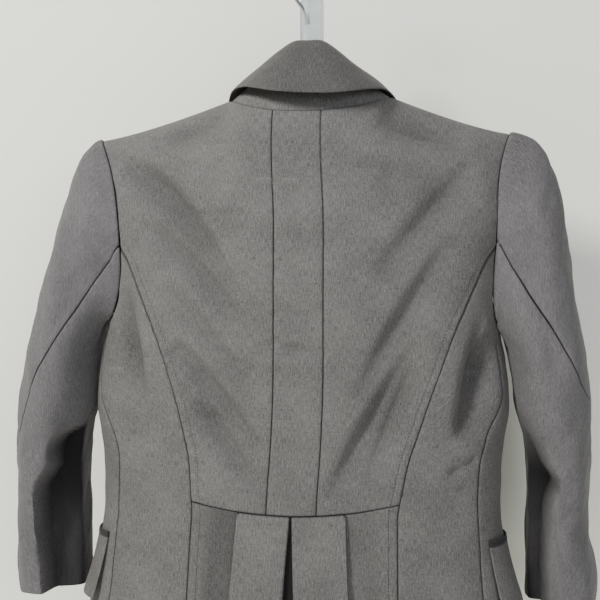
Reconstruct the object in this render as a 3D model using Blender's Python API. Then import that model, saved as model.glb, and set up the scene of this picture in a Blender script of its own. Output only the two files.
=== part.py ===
"""A fitted peplum jacket hanging on a clear plastic hanger.

Run it with blender --background --python part.py, or from Blender's text editor. Lengths are metres.
X points to the wearer's right, Y to the wearer's front and Z up. The origin is the inside top of the
hanger's hook, from which everything hangs. All body panels lie on one surface, body_point, whose
sections are in SECTIONS, so neighbours meet edge to edge along the seams.
"""

import math

import bmesh
import bpy
import numpy as np

# Cloth
CLOTH = 0.0016  # wall of one layer
SEAM = 0.0003  # space between two pieces at a seam
HALF_SEAM = SEAM / 2
ROUNDNESS = 2.4  # power of the body's oval sections; 2 is an ellipse, more is squarer

# Body heights, below the hook
SHOULDER_NECK_Z = -0.170
SHOULDER_TIP_Z = -0.2075
NECK_DROP = 0.0185  # centre back neck below the shoulder point
PRINCESS_TOP_Z = -0.318  # where the princess seam leaves the armhole
UNDERARM_Z = -0.392
WAIST_Z = -0.5645
WAIST_DIP = 0.0115  # the waist seam hangs this much lower at the centre
HEM_Z = -0.750

# Body widths
JACKET_X = -0.012  # the jacket hangs a little to one side of the hook
NECK_X = 0.011  # and its neck the other way, measured from the jacket's middle
NECK_HALF = 0.083
NECK_MIDDLE_Y = 0.012
SHOULDER_HALF = 0.207
STRIP_HALF = 0.0238
NECK_RISE = 0.0565  # how far the shoulder ridge would climb across the neck
RIDGE_DEPTH = 0.13  # height over which the cloth rounds from the shoulder ridge to its full depth
RIDGE_POWER = 0.62

# Front
OVERLAP = 0.018  # each front passes the centre by this much
BREAK_Z = -0.415  # where the lapels start to turn back
UNDERLAP_DROP = 0.0030  # the left front lies this far inside the right one
UNDERLAP_FROM = -0.050  # and starts to go in here
UNDERLAP_TO = -0.026
FRONT_X = (-OVERLAP, -0.009, 0.001, 0.012, 0.025, 0.040, 0.057, 0.075)  # first columns of a front panel
FRONT_SIDE_COLUMNS = 8  # and the columns from there to the side

# Sections of the body: half width, back and front depth
SECTION_COLUMNS = ("z", "half_width", "back", "front")
SECTIONS = (
    (-0.165, 0.2250, 0.052, 0.046),
    (-0.210, 0.2220, 0.057, 0.053),
    (-0.275, 0.2070, 0.063, 0.062),
    (-0.330, 0.1975, 0.067, 0.070),
    (-0.385, 0.1960, 0.069, 0.075),
    (-0.430, 0.2035, 0.069, 0.076),
    (-0.474, 0.2075, 0.070, 0.073),
    (-0.510, 0.2025, 0.072, 0.067),
    (-0.550, 0.1995, 0.075, 0.063),
    (-0.580, 0.1995, 0.076, 0.063),
    (-0.610, 0.2030, 0.078, 0.067),
    (-0.675, 0.2140, 0.085, 0.078),
    (-0.750, 0.2290, 0.095, 0.091),
)

# Seams of the back: how far the body leans to the right, the half distance between the princess seams,
# the side seam's place as a share of the half width, and how much further right than the centre strip
# the princess seams and the armholes sit
SEAM_COLUMNS = ("z", "lean", "princess", "side_share", "drift")
SEAMS = (
    (-0.160, 0.0030, 0.1900, 0.980, 0.0000),
    (-0.2075, 0.0020, 0.1900, 0.980, 0.0000),
    (-0.240, 0.0030, 0.1885, 0.980, 0.0015),
    (-0.286, 0.0055, 0.1868, 0.980, 0.0022),
    (-0.318, 0.0060, 0.1854, 0.980, 0.0026),
    (-0.333, 0.0060, 0.1756, 0.980, 0.0024),
    (-0.357, 0.0060, 0.1653, 0.980, 0.0022),
    (-0.378, 0.0060, 0.1563, 0.980, 0.0022),
    (-0.399, 0.0060, 0.1468, 0.980, 0.0022),
    (-0.438, 0.0060, 0.1328, 0.975, 0.0022),
    (-0.469, 0.0055, 0.1218, 0.962, 0.0022),
    (-0.496, 0.0045, 0.1133, 0.920, 0.0022),
    (-0.524, 0.0030, 0.1053, 0.886, 0.0022),
    (-0.553, 0.0010, 0.1008, 0.880, 0.0022),
    (-0.571, 0.0000, 0.0983, 0.880, 0.0022),
    (-0.600, -0.0010, 0.0988, 0.876, 0.0022),
    (-0.662, -0.0020, 0.1003, 0.856, 0.0022),
    (-0.750, -0.0020, 0.1038, 0.850, 0.0022),
)

# Half width of the body at the armhole's edge, the same at back and front but for the scoop
ARMHOLE_COLUMNS = ("z", "back", "front")
ARMHOLE = (
    (-0.2075, 0.2070, 0.2070),
    (-0.2240, 0.2002, 0.1984),
    (-0.2400, 0.1950, 0.1910),
    (-0.2580, 0.1910, 0.1850),
    (-0.2860, 0.1878, 0.1810),
    (-0.3180, 0.1854, 0.1810),
)

# The largest folds of the back: soft troughs from one point to another, x from the jacket's middle
FOLD_COLUMNS = ("x0", "z0", "x1", "z1", "wide", "deep")
FOLDS = (
    (-0.185, -0.235, -0.128, -0.300, 0.014, 0.0045),
    (0.170, -0.245, 0.125, -0.315, 0.015, 0.0030),
    (-0.090, -0.315, -0.052, -0.385, 0.012, 0.0025),
    (-0.095, -0.480, -0.045, -0.540, 0.012, 0.0030),
    (0.062, -0.490, 0.030, -0.555, 0.014, 0.0035),
    (-0.022, -0.413, 0.026, -0.427, 0.007, 0.0028),
    (-0.165, -0.385, -0.150, -0.455, 0.013, 0.0055),
    (0.165, -0.400, 0.148, -0.465, 0.013, 0.0055),
    (-0.150, -0.210, -0.080, -0.200, 0.010, 0.0025),
    (0.090, -0.200, 0.160, -0.214, 0.010, 0.0025),
)

# Rows of the body panels, from the hem to the shoulder tip. The two edges of a side panel have as many rows
PEPLUM_LEVELS = (HEM_Z, -0.708, -0.668, -0.630, -0.597)
PRINCESS_LEVELS = (
    *(WAIST_Z, -0.545, -0.523, -0.501, -0.478, -0.456),
    *(-0.434, -0.412, -0.390, -0.368, -0.343, PRINCESS_TOP_Z),
)
SIDE_LEVELS = (
    *(WAIST_Z, -0.548, -0.534, -0.521, -0.507, -0.494),
    *(-0.481, -0.468, -0.454, -0.436, -0.415, UNDERARM_Z),
)
SHOULDER_LEVELS = (-0.296, -0.272, -0.248, -0.229, -0.217, -0.2105, SHOULDER_TIP_Z)
UNDERARM_ANGLES = (16, 34, 52, 72)  # degrees up the front armhole from its lowest point

# Box pleats of the peplum
PLEAT_WIDE = 0.0525  # each of the two boxes at the waist
PLEAT_UNDER = 0.019  # cloth folded under at each edge
PLEAT_LAYER = 0.0024  # from one layer's middle to the next at the waist
PLEAT_LAYER_HEM = 0.0062
PLEAT_GAP = 0.0022  # half the gap between the boxes at the waist
PLEAT_OPEN_HEM = 0.0110  # half the gap between the boxes at the hem
PLEAT_SPREAD_HEM = 0.012  # and how far their outer edges move out there

# Collar, half of it from centre back to the front end, in the neck's own middle
COLLAR_COLUMNS = ("roll_x", "roll_y", "roll_z", "edge_x", "edge_y", "edge_z")
COLLAR = (
    (0.000, -0.027, -0.1165, 0.0000, -0.066, -0.1755),
    (0.013, -0.0265, -0.1168, 0.0240, -0.0645, -0.1752),
    (0.025, -0.023, -0.1235, 0.0460, -0.0570, -0.1725),
    (0.038, -0.016, -0.1360, 0.0640, -0.0400, -0.1680),
    (0.050, -0.005, -0.1480, 0.0790, -0.0120, -0.1650),
    (0.059, 0.010, -0.1600, 0.0895, 0.0180, -0.1745),
    (0.065, 0.026, -0.1730, 0.0990, 0.0420, -0.1950),
    (0.066, 0.041, -0.1880, 0.0990, 0.0600, -0.2150),
)
COLLAR_EDGE_RISE = 0.0050  # the fall's lower edge hangs this much higher at the back left
COLLAR_RISE_AT = -0.36  # as a share of its half
COLLAR_RISE_WIDE = 0.24
COLLAR_COLUMNS_ROUND = 28
COLLAR_FULL = 0.0045  # how far the fall rounds outwards between its roll and its edge
COLLAR_BACK_SHARE = 0.55  # the part of the collar's half that is sewn to the back neck
STAND_IN = 0.0030  # the stand's top lies inside the roll by this much
STAND_LOW = 0.0020  # and below it by this much
STAND_LIFT = 0.0012  # its foot above the neck seam
STAND_FRONT = 0.019  # how far its front ends come in along the roll lines

# Sleeves: rings below the head, from the jacket's middle: inner and outer X, middle Y, half depth. The two
# sleeves hang a little differently
SLEEVE_COLUMNS = ("z", "inner", "outer_left", "outer_right", "middle_y", "half_deep")
SLEEVE = (
    (-0.425, 0.2105, 0.2780, 0.2805, 0.000, 0.0600),
    (-0.474, 0.2150, 0.2865, 0.2855, 0.002, 0.0600),
    (-0.510, 0.2240, 0.2895, 0.2855, 0.005, 0.0590),
    (-0.550, 0.2275, 0.2905, 0.2845, 0.008, 0.0575),
    (-0.600, 0.2270, 0.2915, 0.2845, 0.012, 0.0560),
    (-0.640, 0.2270, 0.2945, 0.2935, 0.015, 0.0550),
    (-0.668, 0.2275, 0.2920, 0.2915, 0.017, 0.0545),
)
SLEEVE_HEAD_Z = -0.425  # the lowest ring of the head's curves
SLEEVE_HEAD_RINGS = 9
SLEEVE_LOW_RINGS = 10
SLEEVE_ROUNDNESS = 2.3
ARMHOLE_LAP = 0.0021  # the sleeve starts this far outside the body's cloth, over the armhole's edge
TIP_LAP = 0.0015  # and this much further at the shoulder tip
FRONT_SEAM_ANGLE = 235.0
HEAD_OUT = 0.47  # how far out the head's curves start, as a share of their width
HEAD_FULL = 0.010  # their fullness to the back and front
HEAD_IN = 0.026  # how far in from the lowest ring they end at the top

# How much squarer each head's top is, and how much of its height runs straight down
HEAD_COLUMNS = ("side", "square", "straight")
HEADS = ((-1, 0.0, 0.45), (1, 0.38, 0.53))


SLEEVE_SEAM_ANGLE = 0.3  # degrees from a sleeve seam's middle to each edge

# The hind-arm seam, from the armhole across the back of each sleeve to its outer edge
HIND_SEAM_COLUMNS = ("z", "left", "right")
HIND_SEAM = (
    (-0.318, 0.1750, 0.1970),
    (-0.348, 0.1955, 0.2130),
    (-0.382, 0.2160, 0.2330),
    (-0.410, 0.2350, 0.2505),
    (-0.441, 0.2540, 0.2670),
    (-0.480, 0.2700, 0.2850),
    (-0.530, 0.2870, 0.3000),
)
HIND_SEAM_LOW_ANGLE = 6.0  # where it runs on below, down the outer edge
HIND_SEAM_HIGH_ANGLE = 150.0  # no part of it lies further round

# Pocket flaps and welts on the fronts, in degrees round the body from centre back
FLAP_BACK = 64.0
FLAP_FRONT = 137.0
FLAP_TOP_Z = -0.6085
FLAP_TALL = 0.060
FLAP_STAND_OFF = 0.0055
WELT_TALL = 0.0065
ON_TOP = 0.0026  # middle of a layer laid on another, over the middle of that one

# Lapels
LEFT_LAPEL_START = -0.012  # the left lapel shows from where the two fronts cross
LAPEL_END = 0.022  # and both end this far short of the shoulder's neck point
LAPEL_WIDE = 0.056  # widest, beyond the narrow start
LAPEL_START_WIDE = 0.006
LAPEL_SLOPE = 0.30  # how steeply its threads fall outwards
LAPEL_FOLD = 0.0035  # its roll edge below the front's own
LAPEL_LIFT = 0.0023  # its middle over the front's, at the roll
LAPEL_OPEN = 0.0022  # and this much more at its free edge

# Buttons
BUTTON_RADIUS = 0.0100
BUTTON_THICK = 0.0035
BUTTON_Z = (-0.440, -0.545)
BUTTON_SIDES = 14
BUTTON_PROFILE_COLUMNS = ("radius", "height")  # shares of the radius and the thickness, from the cloth up
BUTTON_PROFILE = (
    (0.0, 0.0),
    (0.55, 0.0),
    (0.95, 0.30),
    (1.0, 0.55),
    (0.93, 0.90),
    (0.82, 1.0),
    (0.70, 0.80),
    (0.0, 0.72),
)

# Hanger
NECK_BAR_WIDE = 0.0240
NECK_BAR_DEEP = 0.0110
NECK_BAR_TOP = -0.0660
ARM_TALL = 0.0200
ARM_THICK = 0.0080
ARM_END = 0.192  # from the jacket's middle
ARM_CLEAR = 0.0010  # below the cloth
ARM_RISE = 0.022  # how much the arms climb to the neck bar
ARM_TAPER = 0.03  # length over which each arm's end gets lower
ARM_SECTIONS = 12
ARM_OUTLINE_COLUMNS = ("across", "down")  # shares of the arm's thickness and height
ARM_OUTLINE = (
    (-0.5, -1.0),
    (-0.5, -0.45),
    (-0.36, -0.16),
    (-0.12, 0.0),
    (0.12, 0.0),
    (0.36, -0.16),
    (0.5, -0.45),
    (0.5, -1.0),
)
WIRE_RADIUS = 0.0018
HOOK_RADIUS = 0.0220  # inside
HOOK_POINTS = 32  # along the whole wire
HOOK_START = 208.0  # degrees, where the round part starts, and its steps from there over the top
HOOK_STEP = 15.5
HOOK_STEPS = 15
SHANK_COLUMNS = ("x", "z")
SHANK = (
    (-0.0035, -0.0940),
    (-0.0042, -0.0875),
    (-0.0062, -0.0808),
    (-0.0105, -0.0748),
    (-0.0150, -0.0690),
    (-0.0190, -0.0605),
    (-0.0208, -0.0490),
)


def smooth_rows(table, z, column):
    """The column's value at height z, on a smooth curve through the table's rows."""
    rows = np.array(sorted(table), float)
    at, value = rows[:, 0], rows[:, column]
    slope = np.gradient(value, at)
    i = int(np.clip(np.searchsorted(at, z) - 1, 0, len(at) - 2))
    gap = at[i + 1] - at[i]
    u = min(max((z - at[i]) / gap, 0.0), 1.0)
    return float(
        (2 * u**3 - 3 * u**2 + 1) * value[i]
        + (u**3 - 2 * u**2 + u) * gap * slope[i]
        + (3 * u**2 - 2 * u**3) * value[i + 1]
        + (u**3 - u**2) * gap * slope[i + 1]
    )


def section(z, name):
    return smooth_rows(SECTIONS, z, SECTION_COLUMNS.index(name))


def seam(z, name):
    return smooth_rows(SEAMS, z, SEAM_COLUMNS.index(name))


def smoothstep(low, high, value):
    u = min(max((value - low) / (high - low), 0.0), 1.0)
    return u * u * (3 - 2 * u)


# Shoulders and neck


def ridge_z(x):
    """Height of the shoulder ridge, where back and front meet, x from the jacket's middle."""
    side = 1 if x > NECK_X else -1
    from_neck = abs(x - NECK_X)
    if from_neck <= NECK_HALF:
        return SHOULDER_NECK_Z + NECK_RISE * (1 - (from_neck / NECK_HALF) ** 2)
    tip = abs(side * SHOULDER_HALF + seam(SHOULDER_TIP_Z, "lean") - NECK_X)
    share = min((from_neck - NECK_HALF) / (tip - NECK_HALF), 1.0)
    beyond = max(from_neck - tip, 0.0)
    fall = SHOULDER_NECK_Z - SHOULDER_TIP_Z
    return SHOULDER_NECK_Z - fall * (1 - (1 - share) ** 1.3) - beyond * 0.3


def neck_z(x):
    """Height of the back neck seam."""
    share = min(abs(x - NECK_X) / NECK_HALF, 1.0)
    return SHOULDER_NECK_Z - NECK_DROP * (1 - share**2.4)


def back_top_z(x):
    return neck_z(x) if abs(x - NECK_X) < NECK_HALF else ridge_z(x)


def front_top_z(x, side):
    """Top of a front panel: its roll line up to the neck, and then the shoulder seam."""
    start, end = -side * OVERLAP, NECK_X + side * NECK_HALF
    if (x - end) * side >= 0:
        return ridge_z(x)
    share = max((x - start) / (end - start), 0.0)
    return BREAK_Z + (SHOULDER_NECK_Z - BREAK_Z) * share**0.93


# The body's surface


def oval(z, angle):
    """(x, share of the depth) on the section at z, angle in degrees from centre back. The lean dies away
    towards the sides."""
    turn = math.radians(angle)
    power = 2 / ROUNDNESS
    across = math.copysign(abs(math.sin(turn)) ** power, math.sin(turn))
    deep = math.copysign(abs(math.cos(turn)) ** power, math.cos(turn))
    return section(z, "half_width") * across + seam(z, "lean") * (1 - across**4), deep


def angle_at(x, z, front=False):
    """The angle at which the section at z has this x."""
    share = x / section(z, "half_width")
    for _ in range(5):
        share = (x - seam(z, "lean") * (1 - share**4)) / section(z, "half_width")
    share = math.copysign(min(abs(share), 1.0) ** (ROUNDNESS / 2), share)
    turn = math.degrees(math.asin(share))
    return turn if not front else math.copysign(180, turn if turn else 1) - turn


def fold_depth(x, z):
    total = 0.0
    for x0, z0, x1, z1, wide, deep in FOLDS:
        along = ((x - x0) * (x1 - x0) + (z - z0) * (z1 - z0)) / ((x1 - x0) ** 2 + (z1 - z0) ** 2)
        near = min(max(along, 0.0), 1.0)
        away = math.hypot(x - x0 - near * (x1 - x0), z - z0 - near * (z1 - z0))
        total += deep * math.exp(-((away / wide) ** 2))
    return total


def body_point(angle, z, folded=True):
    """A point in the middle of the cloth, angle in degrees from centre back, positive to the right."""
    x, deep = oval(z, angle)
    below = max(ridge_z(x) - z, 0.0)
    rise = (1 - (1 - min(below / RIDGE_DEPTH, 1.0)) ** 2) ** RIDGE_POWER
    y = -deep * section(z, "back" if deep > 0 else "front") * rise
    if folded and deep > 0:
        y += fold_depth(x, z) * min(deep * 2, 1.0) * smoothstep(0.0, 0.02, below)
    return np.array((x, y, z))


def body_normal(angle, z):
    """The surface's outward direction."""
    step_angle, step_z = 0.4, 0.0004
    along = body_point(angle + step_angle, z, False) - body_point(angle - step_angle, z, False)
    up = body_point(angle, z, False) - body_point(angle, z - step_z, False)
    across = np.cross(along, up)
    return across / np.linalg.norm(across)


def moved_in(angle, z, by):
    """The angle a short way further round, by metres along the section."""
    step = 0.5
    here = body_point(angle - step, z, False)
    there = body_point(angle + step, z, False)
    return angle + by * 2 * step / np.linalg.norm(there - here)


# Making solids


def material(name, colour, roughness, metallic=0.0, alpha=1.0):
    made = bpy.data.materials.new(name)
    made.use_nodes = True
    shader = made.node_tree.nodes["Principled BSDF"]
    shader.inputs["Base Color"].default_value = (*colour, 1.0)
    shader.inputs["Roughness"].default_value = roughness
    shader.inputs["Metallic"].default_value = metallic
    shader.inputs["Alpha"].default_value = alpha
    return made


def finished(name, mesh, look, smooth_angle=40):
    mesh.materials.append(look)
    mesh.shade_smooth()
    mesh.set_sharp_from_angle(angle=math.radians(smooth_angle))
    made = bpy.data.objects.new(name, mesh)
    bpy.context.scene.collection.objects.link(made)
    made.location.x = JACKET_X
    return made


def from_faces(name, points, faces, look, smooth_angle=40):
    shape = bmesh.new()
    verts = [shape.verts.new(p) for p in points]
    for face in faces:
        shape.faces.new([verts[i] for i in face])
    bmesh.ops.recalc_face_normals(shape, faces=shape.faces)
    mesh = bpy.data.meshes.new(name)
    shape.to_mesh(mesh)
    shape.free()
    return finished(name, mesh, look, smooth_angle)


def wall(name, points, normals, look, thick=CLOTH):
    """A closed cloth wall over a grid of middle points, half its thickness to each side."""
    points, normals = np.array(points, float), np.array(normals, float)
    rows, cols = points.shape[:2]
    outer = (points + normals * thick / 2).reshape(-1, 3)
    inner = (points - normals * thick / 2).reshape(-1, 3)
    size = rows * cols
    faces = []
    for i in range(rows - 1):
        for j in range(cols - 1):
            a = i * cols + j
            quad = (a, a + 1, a + cols + 1, a + cols)
            faces.append(quad)
            faces.append(tuple(size + corner for corner in quad[::-1]))
    border = list(range(cols))
    border += [i * cols + cols - 1 for i in range(1, rows)]
    border += [(rows - 1) * cols + j for j in range(cols - 2, -1, -1)]
    border += [i * cols for i in range(rows - 2, 0, -1)]
    for a, b in zip(border, border[1:] + border[:1]):
        faces.append((a, size + a, size + b, b))
    return from_faces(name, [*outer, *inner], faces, look)


def grid_normals(points):
    """Normals of a grid of points, from its own rows and columns."""
    points = np.array(points, float)
    down, along = np.gradient(points, axis=0), np.gradient(points, axis=1)
    across = np.cross(along, down)
    return across / np.linalg.norm(across, axis=2, keepdims=True)


# Body panels


def levels_to_rows(levels):
    """Heights as shares of the way from the first level to the last."""
    return [(level - levels[0]) / (levels[-1] - levels[0]) for level in levels]


def waist_z(x):
    return WAIST_Z - WAIST_DIP * (1 - min(abs(x) / seam(WAIST_Z, "princess"), 1.0) ** 2)


def wall_on_body(name, grid, look, lift=0.0, folded=True):
    """A cloth wall on the body's surface, from a grid of (angle, z), lifted off it by lift."""
    normals = [[body_normal(angle, z) for angle, z in row] for row in grid]
    points = [
        [body_point(angle, z, folded) + lift * normal for (angle, z), normal in zip(row, aside)]
        for row, aside in zip(grid, normals)
    ]
    return wall(name, points, normals, look)


def spread(count):
    return [i / count for i in range(count + 1)]


def princess_angle(z, side):
    return angle_at(seam(z, "lean") + seam(z, "drift") + side * seam(z, "princess"), z)


def armhole_angle(z, front, side):
    half = smooth_rows(ARMHOLE, z, ARMHOLE_COLUMNS.index("front" if front else "back"))
    return angle_at(seam(z, "lean") + seam(z, "drift") + side * half, z, front)


def side_angle(z, side):
    return side * angle_at(seam(z, "side_share") * section(z, "half_width"), z)


def scoop_share(z):
    """How far round the armhole's lower quarter has come at z, from 0 at the princess seam's top to 1."""
    fall = (PRINCESS_TOP_Z - z) / (PRINCESS_TOP_Z - UNDERARM_Z)
    return 1 - math.sqrt(max(1 - fall * fall, 0.0))


def back_outer(z, side):
    return princess_angle(z, side) if z <= PRINCESS_TOP_Z else armhole_angle(z, False, side)


def front_outer(z, side):
    """The front panel's outer edge: the side seam, and above the underarm the scooped armhole."""
    if z <= UNDERARM_Z:
        return side_angle(z, side)
    if z >= PRINCESS_TOP_Z:
        return armhole_angle(z, True, side)
    high = armhole_angle(PRINCESS_TOP_Z, True, side)
    return high + scoop_share(z) * (side_angle(UNDERARM_Z, side) - high)


def make_strip(look):
    levels = PRINCESS_LEVELS + SHOULDER_LEVELS
    grid = []
    for share_up in levels_to_rows(levels):
        row = []
        for share in spread(4):
            z = levels[0] + share_up * (levels[-1] - levels[0])
            for _ in range(8):
                x = seam(z, "lean") + (2 * share - 1) * (STRIP_HALF - HALF_SEAM)
                low = waist_z(x) + HALF_SEAM
                z = low + share_up * (back_top_z(x) - HALF_SEAM - low)
            row.append((angle_at(x, z), z))
        grid.append(row)
    wall_on_body("back_centre_strip", grid, look)


def make_back(name, side, look):
    levels = PRINCESS_LEVELS + SHOULDER_LEVELS
    grid = []
    for edge_z, share_up in zip(levels, levels_to_rows(levels)):
        outer = moved_in(back_outer(edge_z, side), edge_z, -side * HALF_SEAM)
        outer_x = oval(edge_z, outer)[0]
        row = []
        for share in spread(8):
            z = edge_z
            for _ in range(10):
                inner_x = seam(z, "lean") + side * (STRIP_HALF + HALF_SEAM)
                x = inner_x + share * (outer_x - inner_x)
                low = waist_z(x) + HALF_SEAM
                z = low + share_up * (back_top_z(x) - HALF_SEAM - low)
            row.append((x, z))
        row = meet_edge(row, edge_z + HALF_SEAM * (1 - 2 * share_up))
        row = [(angle_at(x, z), z) for x, z in row]
        grid.append(row if side > 0 else row[::-1])
    wall_on_body(name, grid, look)


def meet_edge(row, edge_z):
    """The row with its last point moved to edge_z, and the others a little less the further they are."""
    off = edge_z - row[-1][1]
    return [(across, z + off * (i / (len(row) - 1)) ** 3) for i, (across, z) in enumerate(row)]


def make_side(name, side, look):
    near_levels, far_levels = PEPLUM_LEVELS + PRINCESS_LEVELS, PEPLUM_LEVELS + SIDE_LEVELS
    grid = []
    for number, (near_z, far_z) in enumerate(zip(near_levels, far_levels)):
        row = []
        up = number / (len(near_levels) - 1)
        for share in spread(6):
            scoop = math.sqrt(1 - (1 - share) ** 2)
            across = share + (scoop - share) * up**3
            z = near_z + across * (far_z - near_z) - (HALF_SEAM if up == 1 else 0)
            near = moved_in(princess_angle(near_z, side), near_z, side * HALF_SEAM)
            far = moved_in(side_angle(far_z, side), far_z, -side * HALF_SEAM)
            row.append((near + share * (far - near), z))
        grid.append(row if side > 0 else row[::-1])
    wall_on_body(name, grid, look)


def front_sink(x, side):
    """How far the left front passes inside the right one near the centre."""
    if side > 0:
        return 0.0
    return UNDERLAP_DROP * smoothstep(UNDERLAP_FROM, UNDERLAP_TO, x)


def front_grid(side):
    """(angle, z) of a front panel: the columns of FRONT_X, and then equal shares of the way to the side."""
    scoop = tuple(
        PRINCESS_TOP_Z - (PRINCESS_TOP_Z - UNDERARM_Z) * math.cos(math.radians(angle))
        for angle in UNDERARM_ANGLES
    )
    levels = PEPLUM_LEVELS + SIDE_LEVELS + scoop + (PRINCESS_TOP_Z,) + SHOULDER_LEVELS
    grid = []
    for edge_z, share_up in zip(levels, levels_to_rows(levels)):
        outer = moved_in(front_outer(edge_z, side), edge_z, side * HALF_SEAM)
        row = []
        for x in FRONT_X:
            z = levels[0] + share_up * (front_top_z(side * x, side) - HALF_SEAM - levels[0])
            row.append((angle_at(side * x, z, True), z))
        if side * row[0][0] < 0:
            row[0] = (row[0][0] + side * 360, row[0][1])
        first = row[-1][0]
        to_side = []
        for share in spread(FRONT_SIDE_COLUMNS):
            angle = first + share * (outer - first)
            z = edge_z
            for _ in range(10):
                x = oval(z, angle)[0]
                z = levels[0] + share_up * (front_top_z(x, side) - HALF_SEAM - levels[0])
            to_side.append((angle, z))
        row += meet_edge(to_side, edge_z - (HALF_SEAM if share_up == 1 else 0))[1:]
        grid.append(row[::-1] if side > 0 else row)
    return grid


def make_front(name, side, look):
    grid = front_grid(side)
    normals = [[body_normal(angle, z) for angle, z in row] for row in grid]
    points = [
        [
            body_point(angle, z) - front_sink(oval(z, angle)[0], side) * normal
            for (angle, z), normal in zip(row, aside)
        ]
        for row, aside in zip(grid, normals)
    ]
    wall(name, points, normals, look)


# Peplum


def fold_arc(start, turn, radius, steps=4):
    """Points of a half turn from start, bulging towards turn (1 right, -1 left), going outwards."""
    x, level = start
    bends = [math.pi * i / steps for i in range(1, steps)]
    return [(x + turn * radius * math.sin(a), level + radius * (1 - math.cos(a))) for a in bends]


def pleat_path(z):
    """The right half of the peplum's cloth seen from above: (x, height over the base surface)."""
    down = (waist_z(0) - z) / (waist_z(0) - HEM_Z)
    layer = PLEAT_LAYER + (PLEAT_LAYER_HEM - PLEAT_LAYER) * down
    gap = PLEAT_GAP + (PLEAT_OPEN_HEM - PLEAT_GAP) * down
    edge = PLEAT_WIDE + PLEAT_SPREAD_HEM * down
    end = seam(z, "princess") - HALF_SEAM
    turn = layer / 2
    low, middle, high = -layer, 0.0, layer
    path = [(gap * 0.5, low), (gap + PLEAT_UNDER * 0.5, low), (gap + PLEAT_UNDER, low)]
    path += fold_arc((gap + PLEAT_UNDER, low), 1, turn)
    path += [(gap + PLEAT_UNDER, middle), (gap + PLEAT_UNDER * 0.5, middle), (gap + turn, middle)]
    path += fold_arc((gap + turn, middle), -1, turn)
    path += [(gap + turn + (edge - gap - 2 * turn) * share, high) for share in spread(5)]
    path += fold_arc((edge - turn, high), 1, -turn)
    path += [(edge - turn, middle), (edge - PLEAT_UNDER * 0.6, middle), (edge - PLEAT_UNDER, middle)]
    path += fold_arc((edge - PLEAT_UNDER, middle), -1, -turn)
    path += [(edge - PLEAT_UNDER, low), (edge - PLEAT_UNDER * 0.4, low)]
    for share in (0.12, 0.35, 0.6, 0.8):
        path.append((edge + (end - edge) * share, low * (1 - smoothstep(0.25, 0.8, share))))
    path.append((end, 0.0))
    return path


def make_peplum(look):
    rows, normal_rows = [], []
    for z in (HEM_Z, *PEPLUM_LEVELS[1:], None):
        row, aside = [], []
        right = pleat_path(HEM_Z if z == HEM_Z else (z if z else WAIST_Z))
        both = [(-x, height) for x, height in right[::-1]] + right
        for x, height in both:
            drift = seam(WAIST_Z, "drift") * (x / right[-1][0]) ** 4
            level = z if z else waist_z(x + drift) - HALF_SEAM
            x_here = x + seam(level, "lean") + drift
            angle = angle_at(x_here, level)
            base = body_normal(angle, level)
            row.append(body_point(angle, level, False) + base * height)
            aside.append(base)
        rows.append(row)
        normal_rows.append(path_normals(row, aside))
    wall("back_peplum", rows, normal_rows, look)


def path_normals(row, aside):
    """Directions square to a folded line of points, in the plane that it is folded in."""
    along = np.gradient(np.array(row), axis=0)
    across = np.cross(along, (0.0, 0.0, 1.0))
    return across / np.linalg.norm(across, axis=1, keepdims=True)


# Collar


def collar_line(share, name):
    """A point of the collar's roll line or outer edge, share from -1 at the left end to 1 at the right."""
    first = COLLAR_COLUMNS.index(name + "_x")
    rows = np.array(COLLAR, float)
    at = np.linspace(0, 1, len(rows))
    table = tuple((at[i], *rows[i]) for i in range(len(rows)))
    point = np.array([smooth_rows(table, abs(share), first + 1 + k) for k in range(3)])
    point[0] = math.copysign(point[0], share) + NECK_X if share else NECK_X
    if name == "edge":
        point[2] += COLLAR_EDGE_RISE * math.exp(-(((share - COLLAR_RISE_AT) / COLLAR_RISE_WIDE) ** 2))
    return point


def neck_line(share):
    """A point of the seam between the collar stand and the body, round the neck and down the roll lines."""
    side = 1 if share >= 0 else -1
    reach = min(abs(share) / COLLAR_BACK_SHARE, 1.0)
    if reach < 1:
        x = NECK_X + side * NECK_HALF * math.sin(reach * math.pi / 2) ** 0.9
        z = neck_z(x)
        return body_point(angle_at(x, z), z)
    forward = (abs(share) - COLLAR_BACK_SHARE) / (1 - COLLAR_BACK_SHARE)
    x = NECK_X + side * (NECK_HALF - STAND_FRONT * forward)
    z = front_top_z(x, side)
    return body_point(angle_at(x, z, True), z)


def collar_row(count):
    return [2 * share - 1 for share in spread(count)]


def make_collar_fall(look):
    points = []
    for down in spread(5):
        row = []
        for share in collar_row(COLLAR_COLUMNS_ROUND):
            roll, edge = collar_line(share, "roll"), collar_line(share, "edge")
            outward = edge - roll
            outward[2] = 0
            outward /= max(np.linalg.norm(outward), 1e-6)
            bulge = COLLAR_FULL * math.sin(math.pi * down**0.7)
            row.append(roll + (edge - roll) * down + outward * bulge + np.array((0, 0, bulge * 0.5)))
        points.append(row)
    wall("collar_fall", points, grid_normals(points), look)


def make_collar_stand(look):
    points = []
    for rise in spread(3):
        row = []
        for share in collar_row(COLLAR_COLUMNS_ROUND):
            low, roll = neck_line(share), collar_line(share, "roll")
            outward = roll - np.array((NECK_X, NECK_MIDDLE_Y, roll[2]))
            outward /= max(np.linalg.norm(outward), 1e-6)
            high = roll - outward * STAND_IN - np.array((0, 0, STAND_LOW))
            low = low + np.array((0, 0, STAND_LIFT))
            row.append(low + (high - low) * rise)
        points.append(row)
    wall("collar_stand", points, grid_normals(points), look)


# Sleeves


def sleeve_value(z, name):
    return smooth_rows(SLEEVE, z, SLEEVE_COLUMNS.index(name))


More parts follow.
